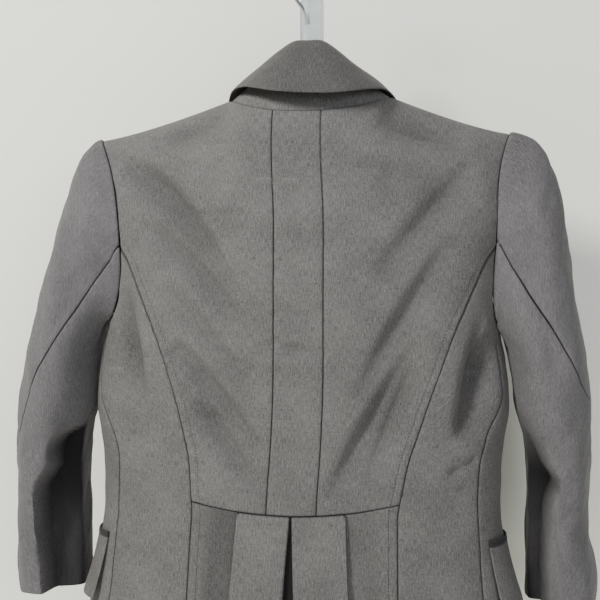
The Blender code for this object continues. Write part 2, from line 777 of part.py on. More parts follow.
def sleeve_ring_point(z, angle, side):
    """A point on a sleeve's level ring at z: 0 outside, 90 at the back, 180 inside, 270 in front. All points
    of the left sleeve are given mirrored until it is made."""
    inner, outer = sleeve_value(z, "inner"), sleeve_value(z, "outer_right" if side > 0 else "outer_left")
    turn = math.radians(angle)
    power = 2 / SLEEVE_ROUNDNESS
    across = math.copysign(abs(math.cos(turn)) ** power, math.cos(turn))
    x = (inner + outer) / 2 + (outer - inner) / 2 * across
    y = -math.copysign(abs(math.sin(turn)) ** power, math.sin(turn)) * sleeve_value(z, "half_deep")
    return np.array((x, y + sleeve_value(z, "middle_y"), z))


def armhole_point(angle, side):
    """A point over an armhole's edge: 0 at the shoulder tip, 90 at the back, 180 under the arm."""
    up = (1 + math.cos(math.radians(angle))) / 2
    z = UNDERARM_Z + (SHOULDER_TIP_Z - UNDERARM_Z) * up
    if angle > 180:
        round_body = front_outer(z, side)
    elif z >= PRINCESS_TOP_Z:
        round_body = armhole_angle(z, False, side)
    else:
        near, far = princess_angle(PRINCESS_TOP_Z, side), side_angle(UNDERARM_Z, side)
        round_body = near + scoop_share(z) * (far - near)
    lap = ARMHOLE_LAP + TIP_LAP * up**4
    return (body_point(round_body, z) + body_normal(round_body, z) * lap) * (side, 1, 1)


def head_point(angle, share, side):
    """A point of the sleeve head, from the armhole at 0 to the first level ring at 1."""
    turn = math.radians(angle)
    top = (1 + math.cos(turn)) / 2
    _, square, straight = next(row for row in HEADS if row[0] == side)
    start, end = armhole_point(angle, side), sleeve_ring_point(SLEEVE_HEAD_Z, angle, side)
    drop, out = start[2] - end[2], end[0] - start[0]
    out_share = HEAD_OUT + square * top**2
    first = start + np.array((out * out_share + ARMHOLE_LAP, -math.sin(turn) * HEAD_FULL, -drop * 0.03))
    last = end + np.array((-HEAD_IN * top, 0, drop * straight))
    left = 1 - share
    return start * left**3 + 3 * share * left * (first * left + last * share) + end * share**3


def sleeve_point(angle, ring, side):
    """Rings 0 to SLEEVE_HEAD_RINGS make the head, the rest are level rings."""
    if ring <= SLEEVE_HEAD_RINGS:
        return head_point(angle % 360, (ring / SLEEVE_HEAD_RINGS) ** 1.15, side)
    down = (ring - SLEEVE_HEAD_RINGS) / SLEEVE_LOW_RINGS
    return sleeve_ring_point(SLEEVE_HEAD_Z + (SLEEVE[-1][0] - SLEEVE_HEAD_Z) * down, angle, side)


def seam_angle(ring, side):
    """The angle at which a ring meets the hind-arm seam, which starts at the princess seam's top."""
    up = (PRINCESS_TOP_Z - UNDERARM_Z) / (SHOULDER_TIP_Z - UNDERARM_Z)
    top = math.degrees(math.acos(2 * up - 1))
    low, high = HIND_SEAM_LOW_ANGLE, HIND_SEAM_HIGH_ANGLE
    column = HIND_SEAM_COLUMNS.index("right" if side > 0 else "left")
    for _ in range(24):
        middle = (low + high) / 2
        x, _, z = sleeve_point(middle, ring, side)
        outside = x > smooth_rows(HIND_SEAM, z, column)
        low, high = (middle, high) if outside else (low, middle)
    return top + (low - top) * min(ring / 2, 1.0)


def sleeve_normal(angle, ring, side):
    rings = SLEEVE_HEAD_RINGS + SLEEVE_LOW_RINGS
    round_it = sleeve_point(angle + 1, ring, side) - sleeve_point(angle - 1, ring, side)
    above, below = max(ring - 0.25, 0), min(ring + 0.25, rings)
    along = sleeve_point(angle, below, side) - sleeve_point(angle, above, side)
    normal = np.cross(along, round_it)
    return normal / np.linalg.norm(normal)


def make_sleeve(name, side, look):
    upper = name.startswith("upper")
    points, normals = [], []
    for ring in range(SLEEVE_HEAD_RINGS + SLEEVE_LOW_RINGS + 1):
        hind = seam_angle(ring, side)
        start, end = (FRONT_SEAM_ANGLE - 360, hind) if upper else (hind, FRONT_SEAM_ANGLE)
        first, turn = start + SLEEVE_SEAM_ANGLE, end - start - 2 * SLEEVE_SEAM_ANGLE
        angles = [first + share * turn for share in spread(12 if upper else 9)]
        points.append([sleeve_point(angle, ring, side) * (side, 1, 1) for angle in angles])
        normals.append([sleeve_normal(angle, ring, side) * (side, 1, 1) for angle in angles])
    wall(name, points, normals, look)


# Pockets, lapels and buttons


def make_pocket(side, look):
    columns = [FLAP_BACK + share * (FLAP_FRONT - FLAP_BACK) for share in spread(10)]
    columns = [side * angle for angle in columns]
    if side < 0:
        columns = columns[::-1]
    welt = [[(angle, FLAP_TOP_Z + rise * WELT_TALL) for angle in columns] for rise in (0, 1)]
    wall_on_body("pocket_welt_" + ("right" if side > 0 else "left"), welt, look, lift=ON_TOP)
    points, normals = [], []
    for down in spread(6)[::-1]:
        row, aside = [], []
        for angle in columns:
            z = FLAP_TOP_Z - SEAM - FLAP_TALL * down
            normal = body_normal(angle, z)
            stand = ON_TOP + FLAP_STAND_OFF * down**1.25
            row.append(body_point(angle, z) + normal * stand)
            aside.append(normal)
        points.append(row)
        normals.append(aside)
    wall("pocket_flap_" + ("right" if side > 0 else "left"), points, normals, look)


def make_lapel(side, look):
    """The turned-back top of a front: from the roll line outwards over the front panel."""
    points, normals = [], []
    start_x = -OVERLAP + 0.004 if side > 0 else LEFT_LAPEL_START
    end_x = NECK_X + side * (NECK_HALF - LAPEL_END)
    for share in spread(9):
        x = start_x + share * (end_x - start_x)
        z = front_top_z(x, side)
        width = LAPEL_START_WIDE + LAPEL_WIDE * math.sin(share**0.8 * math.pi * 0.55)
        row, aside = [], []
        for across in spread(4):
            x_here = x + side * width * across * 0.92
            z_here = z - LAPEL_FOLD - width * across * LAPEL_SLOPE * (1 - 0.4 * share)
            angle = angle_at(x_here, z_here, True)
            normal = body_normal(angle, z_here)
            lift = LAPEL_LIFT + LAPEL_OPEN * across
            row.append(body_point(angle, z_here, False) + normal * lift)
            aside.append(normal)
        points.append(row)
        normals.append(aside)
    wall("lapel_" + ("right" if side > 0 else "left"), points, normals, look)


def make_button(name, z, look):
    """A round button on the right front, turned from BUTTON_PROFILE."""
    angle = angle_at(0.0, z, True)
    centre = body_point(angle, z) + body_normal(angle, z) * (CLOTH / 2 + 2 * SEAM)
    shape = bmesh.new()
    rings = []
    for radius, height in BUTTON_PROFILE:
        out, y = BUTTON_RADIUS * radius, centre[1] + BUTTON_THICK * height
        turns = [2 * math.pi * i / BUTTON_SIDES for i in range(BUTTON_SIDES if radius else 1)]
        places = [(centre[0] + out * math.cos(a), y, centre[2] + out * math.sin(a)) for a in turns]
        rings.append([shape.verts.new(place) for place in places])
    for low, high in zip(rings, rings[1:]):
        for i in range(BUTTON_SIDES):
            j = (i + 1) % BUTTON_SIDES
            if len(low) == 1:
                shape.faces.new((low[0], high[j], high[i]))
            elif len(high) == 1:
                shape.faces.new((low[i], low[j], high[0]))
            else:
                shape.faces.new((low[i], low[j], high[j], high[i]))
    bmesh.ops.recalc_face_normals(shape, faces=shape.faces)
    mesh = bpy.data.meshes.new(name)
    shape.to_mesh(mesh)
    shape.free()
    finished(name, mesh, look)


# Hanger


def arm_top(x, side):
    """The arm's top, just under the cloth's inner face at the shoulder ridge."""
    ridge = ridge_z(side * x)
    across = abs(side * x - NECK_X) / NECK_HALF
    if across < 1:
        ridge = ridge_z(NECK_X + side * NECK_HALF) + ARM_RISE * (1 - across**1.5)
    return ridge - CLOTH / 2 - ARM_CLEAR


def make_hanger(plastic, wire):
    """Arms and neck as one moulded piece: sections along the left arm, the neck and the right arm."""
    middle, half = -JACKET_X, NECK_BAR_WIDE * 0.75
    outer = [ARM_END - (ARM_END - half) * i / ARM_SECTIONS for i in range(ARM_SECTIONS)]
    beyond = [x for x in outer if x > middle + half]
    places = sorted([-x for x in outer] + [middle - half, middle, middle + half] + beyond)
    points, faces = [], []
    for x in places:
        top = arm_top(abs(x), 1 if x > 0 else -1)
        end = smoothstep(ARM_END, ARM_END - ARM_TAPER, abs(x))
        tall = ARM_TALL * (0.45 + 0.55 * end)
        points += [(x, across * ARM_THICK, top + down * tall) for across, down in ARM_OUTLINE]
    size = len(ARM_OUTLINE)
    for i in range(len(places) - 1):
        for k in range(size):
            a, b = i * size + k, i * size + (k + 1) % size
            faces.append((a, b, b + size, a + size))
    faces.append(tuple(range(size)))
    faces.append(tuple((len(places) - 1) * size + k for k in range(size)))
    arms = from_faces("hanger_body", points, faces, plastic, 30)
    neck = neck_bar(arm_top(abs(middle), 1) - ARM_TALL * 0.6, plastic)
    join(arms, neck, "UNION")
    bore = hook_curve("hook_bore", WIRE_RADIUS + SEAM)
    join(arms, as_mesh(bore), "DIFFERENCE")
    hook = hook_curve("hanger_hook", WIRE_RADIUS)
    hook.data.materials.append(wire)


def neck_bar(low, look):
    """The upright bar above the arms, with a ridge down its back face."""
    middle = -JACKET_X
    half, deep = NECK_BAR_WIDE / 2, NECK_BAR_DEEP / 2
    outline = (
        (-half, deep * 0.45),
        (-half * 0.30, -deep),
        (half * 0.85, -deep * 0.75),
        (half, -deep * 0.3),
        (half, deep * 0.6),
        (half * 0.8, deep),
        (-half * 0.8, deep),
        (-half, deep * 0.6),
    )
    heights = ((low, 1.0), (NECK_BAR_TOP - 0.004, 1.0), (NECK_BAR_TOP, 0.72))
    points = [(middle + x * grow, y * grow, z) for z, grow in heights for x, y in outline]
    size = len(outline)
    faces = [tuple(range(size)), tuple(2 * size + k for k in range(size))]
    for i in range(2):
        for k in range(size):
            j = (k + 1) % size
            faces.append((i * size + k, i * size + j, (i + 1) * size + j, (i + 1) * size + k))
    return from_faces("neck_bar", points, faces, look, 30)


def hook_path():
    """Middle line of the wire: out of the neck bar, up to the left and round over the top."""
    radius = HOOK_RADIUS + WIRE_RADIUS
    centre = -HOOK_RADIUS
    turns = [math.radians(HOOK_START - i * HOOK_STEP) for i in range(HOOK_STEPS)]
    return [*SHANK, *((radius * math.cos(a), centre + radius * math.sin(a)) for a in turns)]


def smooth_path(route, count):
    """Points evenly along a smooth curve through the route."""
    route = np.array(route, float)
    along = np.concatenate([[0], np.cumsum(np.linalg.norm(np.diff(route, axis=0), axis=1))])
    table = [tuple((along[i], *route[i])) for i in range(len(route))]
    return [
        tuple(smooth_rows(table, at, column) for column in range(1, route.shape[1] + 1))
        for at in np.linspace(0, along[-1], count)
    ]


def hook_curve(name, radius):
    curve = bpy.data.curves.new(name, "CURVE")
    curve.dimensions = "3D"
    curve.bevel_depth = radius
    curve.bevel_resolution = 2
    curve.use_fill_caps = True
    line = curve.splines.new("POLY")
    path = smooth_path(hook_path(), HOOK_POINTS)
    line.points.add(len(path) - 1)
    for point, (x, z) in zip(line.points, path):
        point.co = (x, 0.0, z, 1.0)
    made = bpy.data.objects.new(name, curve)
    bpy.context.scene.collection.objects.link(made)
    return made


def as_mesh(made):
    """The curve's tube as a mesh object in its place, for cutting."""
    graph = bpy.context.evaluated_depsgraph_get()
    mesh = bpy.data.meshes.new_from_object(made.evaluated_get(graph))
    shape = bmesh.new()
    shape.from_mesh(mesh)
    bmesh.ops.remove_doubles(shape, verts=shape.verts, dist=0.00001)
    bmesh.ops.recalc_face_normals(shape, faces=shape.faces)
    shape.to_mesh(mesh)
    shape.free()
    name = made.name
    bpy.data.objects.remove(made)
    return bpy.data.objects.new(name, mesh)


def join(body, other, operation):
    """Adds or cuts the other piece, and keeps it as a hidden helper."""
    if not other.users_collection:
        bpy.context.scene.collection.objects.link(other)
    other.hide_render = True
    other.display_type = "WIRE"
    added = body.modifiers.new(other.name, "BOOLEAN")
    added.object = other
    added.operation = operation
    added.solver = "EXACT"


def main():
    for old in list(bpy.data.objects):
        bpy.data.objects.remove(old)
    cloth = material("grey suiting", (0.21, 0.205, 0.20), 0.85)
    plastic = material("clear plastic", (0.80, 0.84, 0.86), 0.12, alpha=0.45)
    wire = material("steel wire", (0.55, 0.56, 0.58), 0.25, metallic=1.0)
    horn = material("dark button", (0.05, 0.05, 0.055), 0.35)
    make_strip(cloth)
    for side, word in ((-1, "left"), (1, "right")):
        make_back("back_" + word, side, cloth)
        make_side("side_" + word, side, cloth)
        make_front("front_" + word, side, cloth)
        make_lapel(side, cloth)
        make_pocket(side, cloth)
        make_sleeve("upper_sleeve_" + word, side, cloth)
        make_sleeve("under_sleeve_" + word, side, cloth)
    make_peplum(cloth)
    make_collar_stand(cloth)
    make_collar_fall(cloth)
    for number, z in enumerate(BUTTON_Z, 1):
        make_button(f"button_{number}", z, horn)
    make_hanger(plastic, wire)


main()
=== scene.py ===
# Looks of a grey peplum jacket on a clear plastic hanger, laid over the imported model.
# Metres in the model's own frame: +X is the wearer's right, +Y the front, +Z up, the hook at the origin.

import math

import bpy
import numpy as np
from mathutils import Matrix, Vector


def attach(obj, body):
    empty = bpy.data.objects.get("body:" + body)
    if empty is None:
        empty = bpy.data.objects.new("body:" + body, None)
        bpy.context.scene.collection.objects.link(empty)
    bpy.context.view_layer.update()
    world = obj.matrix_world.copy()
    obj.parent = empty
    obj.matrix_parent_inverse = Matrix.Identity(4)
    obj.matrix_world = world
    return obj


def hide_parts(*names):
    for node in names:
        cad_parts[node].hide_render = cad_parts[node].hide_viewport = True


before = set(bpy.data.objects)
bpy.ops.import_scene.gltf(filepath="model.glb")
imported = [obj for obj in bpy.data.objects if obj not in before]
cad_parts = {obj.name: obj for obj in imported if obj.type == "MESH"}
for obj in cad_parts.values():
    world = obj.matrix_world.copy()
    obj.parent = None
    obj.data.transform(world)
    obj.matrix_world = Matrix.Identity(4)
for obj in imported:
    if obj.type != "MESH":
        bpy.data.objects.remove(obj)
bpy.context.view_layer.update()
print("packed model loaded")


# The jacket's form, in the solids' own sizes but for narrower seams

body = {
    "middleX": -0.012,  # hangs a little to one side of the hook
    "roundness": 2.4,  # power of the oval sections, 2 is an ellipse
    "shoulderNeckZ": -0.170,
    "shoulderTipZ": -0.2075,
    "neckDrop": 0.0185,
    "princessTopZ": -0.318,
    "underarmZ": -0.392,
    "waistZ": -0.5645,
    "waistDip": 0.0115,
    "hemZ": -0.750,
    "neckX": 0.011,
    "neckHalf": 0.083,
    "neckMiddleY": 0.012,
    "shoulderHalf": 0.207,
    "stripHalf": 0.0238,
    "neckRise": 0.0565,
    "ridgeDepth": 0.13,
    "ridgePower": 0.62,
    "seam": 0.0001,  # space between two panels
    "cloth": 0.0016,  # wall, doubled cloth and interlining
    "foldDepth": 2.1,
    "foldShade": 0.34,  # painted shade in the folds
    "foldFull": 0.008,  # and the depth at which they have all of it
    "foldsFullX": 0.166,  # they fade from here out to the armhole
    "foldsEndX": 0.186,
    "foldsEndZ": -0.395,  # but not below the underarm
    "foldsFullZ": -0.430,
    "creaseDepth": 0.5,
}
halfSeam = body["seam"] / 2
bothSides = ((-1, "left"), (1, "right"))

# z, half width, back depth, front depth
sections = [
    (-0.165, 0.225, 0.052, 0.046),
    (-0.21, 0.222, 0.057, 0.053),
    (-0.275, 0.207, 0.063, 0.062),
    (-0.33, 0.1975, 0.067, 0.07),
    (-0.385, 0.196, 0.069, 0.075),
    (-0.43, 0.2035, 0.069, 0.076),
    (-0.474, 0.2075, 0.07, 0.073),
    (-0.51, 0.2025, 0.072, 0.067),
    (-0.55, 0.1995, 0.075, 0.063),
    (-0.58, 0.1995, 0.076, 0.063),
    (-0.61, 0.203, 0.078, 0.067),
    (-0.675, 0.214, 0.085, 0.078),
    (-0.75, 0.229, 0.095, 0.091),
]

# z, lean of the centre strip, half distance of the princess seams, side seam's share, drift of the seams
seams = [
    (-0.16, 0.003, 0.19, 0.98, 0.0),
    (-0.2075, 0.002, 0.19, 0.98, 0.0),
    (-0.24, 0.003, 0.1885, 0.98, 0.0015),
    (-0.286, 0.0055, 0.1868, 0.98, 0.0022),
    (-0.318, 0.006, 0.1854, 0.98, 0.0026),
    (-0.333, 0.006, 0.1756, 0.98, 0.0024),
    (-0.357, 0.006, 0.1653, 0.98, 0.0022),
    (-0.378, 0.006, 0.1563, 0.98, 0.0022),
    (-0.399, 0.006, 0.1468, 0.98, 0.0022),
    (-0.438, 0.006, 0.1328, 0.975, 0.0022),
    (-0.469, 0.0055, 0.1218, 0.962, 0.0022),
    (-0.496, 0.0045, 0.1133, 0.92, 0.0022),
    (-0.524, 0.003, 0.1053, 0.886, 0.0022),
    (-0.553, 0.001, 0.1008, 0.88, 0.0022),
    (-0.571, 0.0, 0.0983, 0.88, 0.0022),
    (-0.6, -0.001, 0.0988, 0.876, 0.0022),
    (-0.662, -0.002, 0.1003, 0.856, 0.0022),
    (-0.75, -0.002, 0.1038, 0.85, 0.0022),
]

# z, half width at the armhole's edge, back and front
armhole = [
    (-0.2075, 0.207, 0.207),
    (-0.224, 0.2002, 0.1984),
    (-0.24, 0.195, 0.191),
    (-0.258, 0.191, 0.185),
    (-0.286, 0.1878, 0.181),
    (-0.318, 0.1854, 0.181),
]

# The back's long diagonal folds, as x, z at their start, middle and end, with their width and depth
longFolds = [
    (-0.184, -0.232, -0.118, -0.272, -0.056, -0.372, 0.015, 0.007),
    (-0.15, -0.29, -0.098, -0.338, -0.036, -0.41, 0.012, 0.0042),
    (-0.124, -0.35, -0.082, -0.405, -0.03, -0.47, 0.012, 0.0036),
    (-0.112, -0.412, -0.07, -0.462, -0.028, -0.52, 0.011, 0.0044),
    (-0.094, -0.466, -0.062, -0.505, -0.032, -0.556, 0.01, 0.004),
    (0.036, -0.56, 0.074, -0.486, 0.122, -0.408, 0.012, 0.005),
    (0.07, -0.545, 0.096, -0.48, 0.118, -0.43, 0.009, 0.003),
    (0.06, -0.47, 0.106, -0.385, 0.158, -0.305, 0.013, 0.0042),
    (0.08, -0.35, 0.128, -0.29, 0.176, -0.236, 0.015, 0.004),
    (-0.172, -0.362, -0.16, -0.42, -0.15, -0.476, 0.011, 0.0064),
    (0.16, -0.505, 0.171, -0.445, 0.188, -0.385, 0.0135, 0.0095),
    (-0.15, -0.212, -0.112, -0.204, -0.07, -0.196, 0.01, 0.003),
    (0.166, -0.218, 0.124, -0.212, 0.076, -0.196, 0.01, 0.0036),
    (0.06, -0.236, 0.112, -0.246, 0.17, -0.262, 0.014, 0.0026),
]

# Short troughs of the back, from x, z to x, z, with their width and depth
creases = [
    (-0.114, -0.42, -0.086, -0.45, 0.0065, 0.0028),
    (-0.102, -0.461, -0.072, -0.487, 0.006, 0.0026),
    (-0.094, -0.494, -0.076, -0.5, 0.0035, 0.0016),
    (-0.096, -0.513, -0.08, -0.519, 0.0035, 0.0016),
    (-0.09, -0.529, -0.076, -0.533, 0.003, 0.0012),
    (-0.014, -0.24, 0.006, -0.2385, 0.0035, 0.0012),
    (0.008, -0.308, 0.028, -0.32, 0.005, 0.002),
    (-0.016, -0.342, 0.008, -0.349, 0.005, 0.0018),
    (-0.014, -0.386, 0.028, -0.385, 0.004, 0.0014),
    (-0.018, -0.412, 0.03, -0.425, 0.0055, 0.0034),
    (-0.163, -0.502, -0.15, -0.508, 0.004, 0.0024),
    (-0.163, -0.541, -0.146, -0.547, 0.004, 0.0024),
    (0.152, -0.536, 0.172, -0.524, 0.004, 0.0028),
    (0.147, -0.553, 0.162, -0.552, 0.003, 0.0016),
]


def tableCurve(rows, at, column):  # smooth curve through one column, read at any heights
    rows = np.array(sorted(rows), float)
    known, value = rows[:, 0], rows[:, column]
    slope = np.gradient(value, known)
    at = np.asarray(at, float)
    i = np.clip(np.searchsorted(known, at) - 1, 0, len(known) - 2)
    gap = known[i + 1] - known[i]
    u = np.clip((at - known[i]) / gap, 0, 1)
    start = (2 * u**3 - 3 * u**2 + 1) * value[i] + (u**3 - 2 * u**2 + u) * gap * slope[i]
    return start + (3 * u**2 - 2 * u**3) * value[i + 1] + (u**3 - u**2) * gap * slope[i + 1]


def halfWidth(z):
    return tableCurve(sections, z, 1)


def lean(z):
    return tableCurve(seams, z, 1)


def princessHalf(z):
    return tableCurve(seams, z, 2)


def drift(z):
    return tableCurve(seams, z, 4)


def easeStep(low, high, value):
    u = np.clip((value - low) / (high - low), 0, 1)
    return u * u * (3 - 2 * u)


def signedPower(value, power):
    return np.sign(value) * np.abs(value) ** power


def ridgeZ(x):  # the shoulder ridge, where back and front meet
    side = np.where(x > body["neckX"], 1.0, -1.0)
    fromNeck = np.abs(x - body["neckX"])
    half, top = body["neckHalf"], body["shoulderNeckZ"]
    tip = np.abs(side * body["shoulderHalf"] + lean(body["shoulderTipZ"]) - body["neckX"])
    share = np.clip((fromNeck - half) / (tip - half), 0, 1)
    beyond = np.maximum(fromNeck - tip, 0)
    outside = top - (top - body["shoulderTipZ"]) * (1 - (1 - share) ** 1.3) - beyond * 0.3
    return np.where(fromNeck <= half, top + body["neckRise"] * (1 - (fromNeck / half) ** 2), outside)


def neckZ(x):  # back neck seam
    share = np.clip(np.abs(x - body["neckX"]) / body["neckHalf"], 0, 1)
    return body["shoulderNeckZ"] - body["neckDrop"] * (1 - share**2.4)


def backTopZ(x):
    return np.where(np.abs(x - body["neckX"]) < body["neckHalf"], neckZ(x), ridgeZ(x))


def ovalAt(z, angle):  # x and share of the depth on a level section
    turn, power = np.radians(angle), 2 / body["roundness"]
    across, deep = signedPower(np.sin(turn), power), signedPower(np.cos(turn), power)
    return halfWidth(z) * across + lean(z) * (1 - across**4), deep


def angleAt(x, z, front=False):
    share = x / halfWidth(z)
    for _ in range(6):
        share = (x - lean(z) * (1 - share**4)) / halfWidth(z)
    share = np.sign(share) * np.clip(np.abs(share), 0, 1) ** (body["roundness"] / 2)
    turn = np.degrees(np.arcsin(share))
    return np.where(turn >= 0, 180.0, -180.0) - turn if front else turn


def bodyPoint(angle, z):
    x, deep = ovalAt(z, angle)
    below = np.maximum(ridgeZ(x) - z, 0)
    rise = (1 - (1 - np.clip(below / body["ridgeDepth"], 0, 1)) ** 2) ** body["ridgePower"]
    depth = np.where(deep > 0, tableCurve(sections, z, 2), tableCurve(sections, z, 3))
    return np.stack([x, -deep * depth * rise, z + 0 * x], axis=-1)


def unit(vectors):
    return vectors / np.maximum(np.linalg.norm(vectors, axis=-1, keepdims=True), 1e-12)


def bodyNormal(angle, z):
    along = bodyPoint(angle + 0.4, z) - bodyPoint(angle - 0.4, z)
    up = bodyPoint(angle, z) - bodyPoint(angle, z - 0.0004)
    return unit(np.cross(along, up))


def movedIn(angle, z, by):  # the angle a short way further round, by metres
    step = np.linalg.norm(bodyPoint(angle + 0.5, z) - bodyPoint(angle - 0.5, z), axis=-1)
    return angle + by / step


def troughs(x, z, rows):  # depth of soft troughs, a little uneven along their length
    total = np.zeros_like(x)
    for number, (x0, z0, x1, z1, wide, deep) in enumerate(rows):
        run = np.hypot(x1 - x0, z1 - z0)
        along = ((x - x0) * (x1 - x0) + (z - z0) * (z1 - z0)) / run**2
        near = np.clip(along, 0, 1)
        wave = 0.0025 * np.sin(along * 5 + number * 1.7) * min(run / 0.06, 1)
        side = ((x - x0) * (z1 - z0) - (z - z0) * (x1 - x0)) / run + wave
        away = np.hypot(side, (along - near) * run)
        total += deep * np.exp(-((away / wide) ** 2)) * (0.8 + 0.2 * np.cos(along * 7 + number))
    return total


def curvedFolds(x, z, rows):  # the same along a curve, steep above it and soft below, fading at both ends
    total = np.zeros_like(x)
    t = np.linspace(0, 1, 21)
    for x0, z0, x1, z1, x2, z2, wide, deep in rows:
        bends = [(a, 2 * b - (a + c) / 2, c) for a, b, c in ((x0, x1, x2), (z0, z1, z2))]
        lineX, lineZ = (a * (1 - t) ** 2 + 2 * b * t * (1 - t) + c * t**2 for a, b, c in bends)
        nearest, above, along = np.full_like(x, 9.0), np.zeros_like(x), np.zeros_like(x)
        for k in range(len(t) - 1):
            runX, runZ = lineX[k + 1] - lineX[k], lineZ[k + 1] - lineZ[k]
            u = np.clip(((x - lineX[k]) * runX + (z - lineZ[k]) * runZ) / (runX**2 + runZ**2), 0, 1)
            offX, offZ = x - lineX[k] - u * runX, z - lineZ[k] - u * runZ
            away = np.hypot(offX, offZ)
            closer = away < nearest
            above = np.where(closer, runX * offZ - runZ * offX > 0, above)
            along = np.where(closer, t[k] + u / (len(t) - 1), along)
            nearest = np.minimum(away, nearest)
        spread = np.where(above > 0.5, wide * 0.62, wide * 1.5)
        total += deep * np.sin(math.pi * along) ** 0.7 * np.exp(-((nearest / spread) ** 2))
    return total


def unevenness(x, z, amount):  # the cloth's own slight waviness, 20 to 60 mm long
    value = np.sin(x * 140 + 2.1 * np.sin(z * 37)) + np.sin(z * 95 + 1.7 * np.sin(x * 61 + 1))
    return amount * (value + 0.6 * np.sin(x * 260 - z * 210 + 0.5)) / 2.6


# Making cloth

seamLook = {
    "deep": 0.0008,  # how far a pressed seam sinks
    "wide": 0.0016,
    "shade": 0.0008,  # width of the painted shade in a seam's hollow
    "pucker": 0.00022,  # small ripples where a seam pulls on the cloth
    "stitchIn": 0.0083,  # topstitching beside the princess seams
    "stitchDeep": 0.00045,
}


def edgeShares(count, edge):  # even shares with close ones next to both edges
    middle = np.linspace(edge * 4, 1 - edge * 4, count)
    close = np.array([0, 0.5, 1.1, 2.0, 3.0]) * edge
    return np.concatenate([close, middle, 1 - close[::-1]])


def endShares(count, edge):  # the same with close ones only at the end
    return np.concatenate([np.linspace(0, 1 - edge * 4, count), 1 - np.array([3.0, 2.0, 1.1, 0.5, 0]) * edge])


def runLengths(points, axis):
    steps = np.linalg.norm(np.diff(points, axis=axis), axis=-1)
    pad = [(0, 0), (0, 0)]
    pad[axis] = (1, 0)
    return np.pad(np.cumsum(steps, axis=axis), pad)


def gridNormals(points):
    return unit(np.cross(np.gradient(points, axis=1), np.gradient(points, axis=0)))


def addObject(name, data):
    made = bpy.data.objects.new(name, data)
    bpy.context.scene.collection.objects.link(made)
    return made


def makeShell(name, points, normals, sewn, wall, looks, relief, grain, shade):
    # A closed thin wall over a grid of middle points. Edges named in sewn roll inwards as a pressed seam
    # does, and all edges are a little thinner. The warp runs up the column that grain names.
    rows, columns = points.shape[:2]
    across, up = runLengths(points, 1), runLengths(points, 0)
    toEdge = {"left": across, "right": across[:, -1:] - across, "bottom": up, "top": up[-1:, :] - up}
    # painted shade: the amount given, and more along each sewn edge, kept as an attribute for the cloth's
    # material
    sink, dark = relief + 0 * across, shade + 0 * across
    for side in sewn:
        sink = sink + seamLook["deep"] * np.exp(-((toEdge[side] / seamLook["wide"]) ** 2))
        dark = np.maximum(dark, np.exp(-((toEdge[side] / seamLook["shade"]) ** 2)))
    middle = points - normals * sink[..., None]
    nearest = np.minimum.reduce(list(toEdge.values()))
    half = wall / 2 * (0.45 + 0.55 * easeStep(0, 0.0009, nearest))
    facing = gridNormals(middle)
    facing = facing * np.where((facing * normals).sum(-1, keepdims=True) < 0, -1.0, 1.0)
    outer = (middle + facing * half[..., None]).reshape(-1, 3)
    inner = (middle - facing * half[..., None]).reshape(-1, 3)
    size = rows * columns
    i, j = np.meshgrid(np.arange(rows - 1), np.arange(columns - 1), indexing="ij")
    corner = (i * columns + j).ravel()
    quads = np.stack([corner, corner + 1, corner + columns + 1, corner + columns], 1)
    rim = list(range(columns)) + [r * columns + columns - 1 for r in range(1, rows)]
    rim += [(rows - 1) * columns + c for c in range(columns - 2, -1, -1)]
    rim = np.array(rim + [r * columns for r in range(rows - 2, 0, -1)])
    after = np.roll(rim, -1)
    edge = np.stack([after, rim, rim + size, after + size], 1)
    faces = np.concatenate([quads, quads[:, ::-1] + size, edge])
    a, b, d = outer[0], outer[1], outer[columns]
    if np.dot(np.cross(b - a, d - a), facing[0, 0]) < 0:
        faces = faces[:, ::-1]
    mesh = bpy.data.meshes.new(name)
    mesh.from_pydata(np.concatenate([outer, inner]).tolist(), [], faces.tolist())
    straight = {"left": 0, "middle": columns // 2, "right": columns - 1}[grain]
    flat = np.stack([across - across[:, straight : straight + 1], up], -1).reshape(-1, 2)
    flat = np.concatenate([flat, flat])
    corners = np.empty(len(mesh.loops), np.int32)
    mesh.loops.foreach_get("vertex_index", corners)
    mesh.uv_layers.new(name="threads").data.foreach_set("uv", flat[corners].ravel())
    paintedShade = np.concatenate([dark.ravel(), dark.ravel()])
    mesh.attributes.new("paintedShade", "FLOAT", "POINT").data.foreach_set("value", paintedShade)
    for look in looks:
        mesh.materials.append(look)
    inside = np.zeros(len(faces), np.int32)
    inside[len(quads) : 2 * len(quads)] = len(looks) - 1
    mesh.polygons.foreach_set("material_index", inside)
    mesh.shade_smooth()
    mesh.set_sharp_from_angle(angle=math.radians(55))
    mesh.transform(Matrix.Translation((body["middleX"], 0, 0)))
    return addObject(name, mesh)


def sewCloth(name, node, points, normals, sewn, relief=0.0, looks=None, grain="middle", shade=0.0):
    # One cut piece in place of its solid, with the flat size that it was cut to
    looks = looks or [suiting, lining]
    made = makeShell(name, points, normals, sewn, body["cloth"], looks, relief, grain, shade)
    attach(made, "root")
    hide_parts(node)
    return made


def princessAngle(z, side):
    return angleAt(lean(z) + drift(z) + side * princessHalf(z), z)


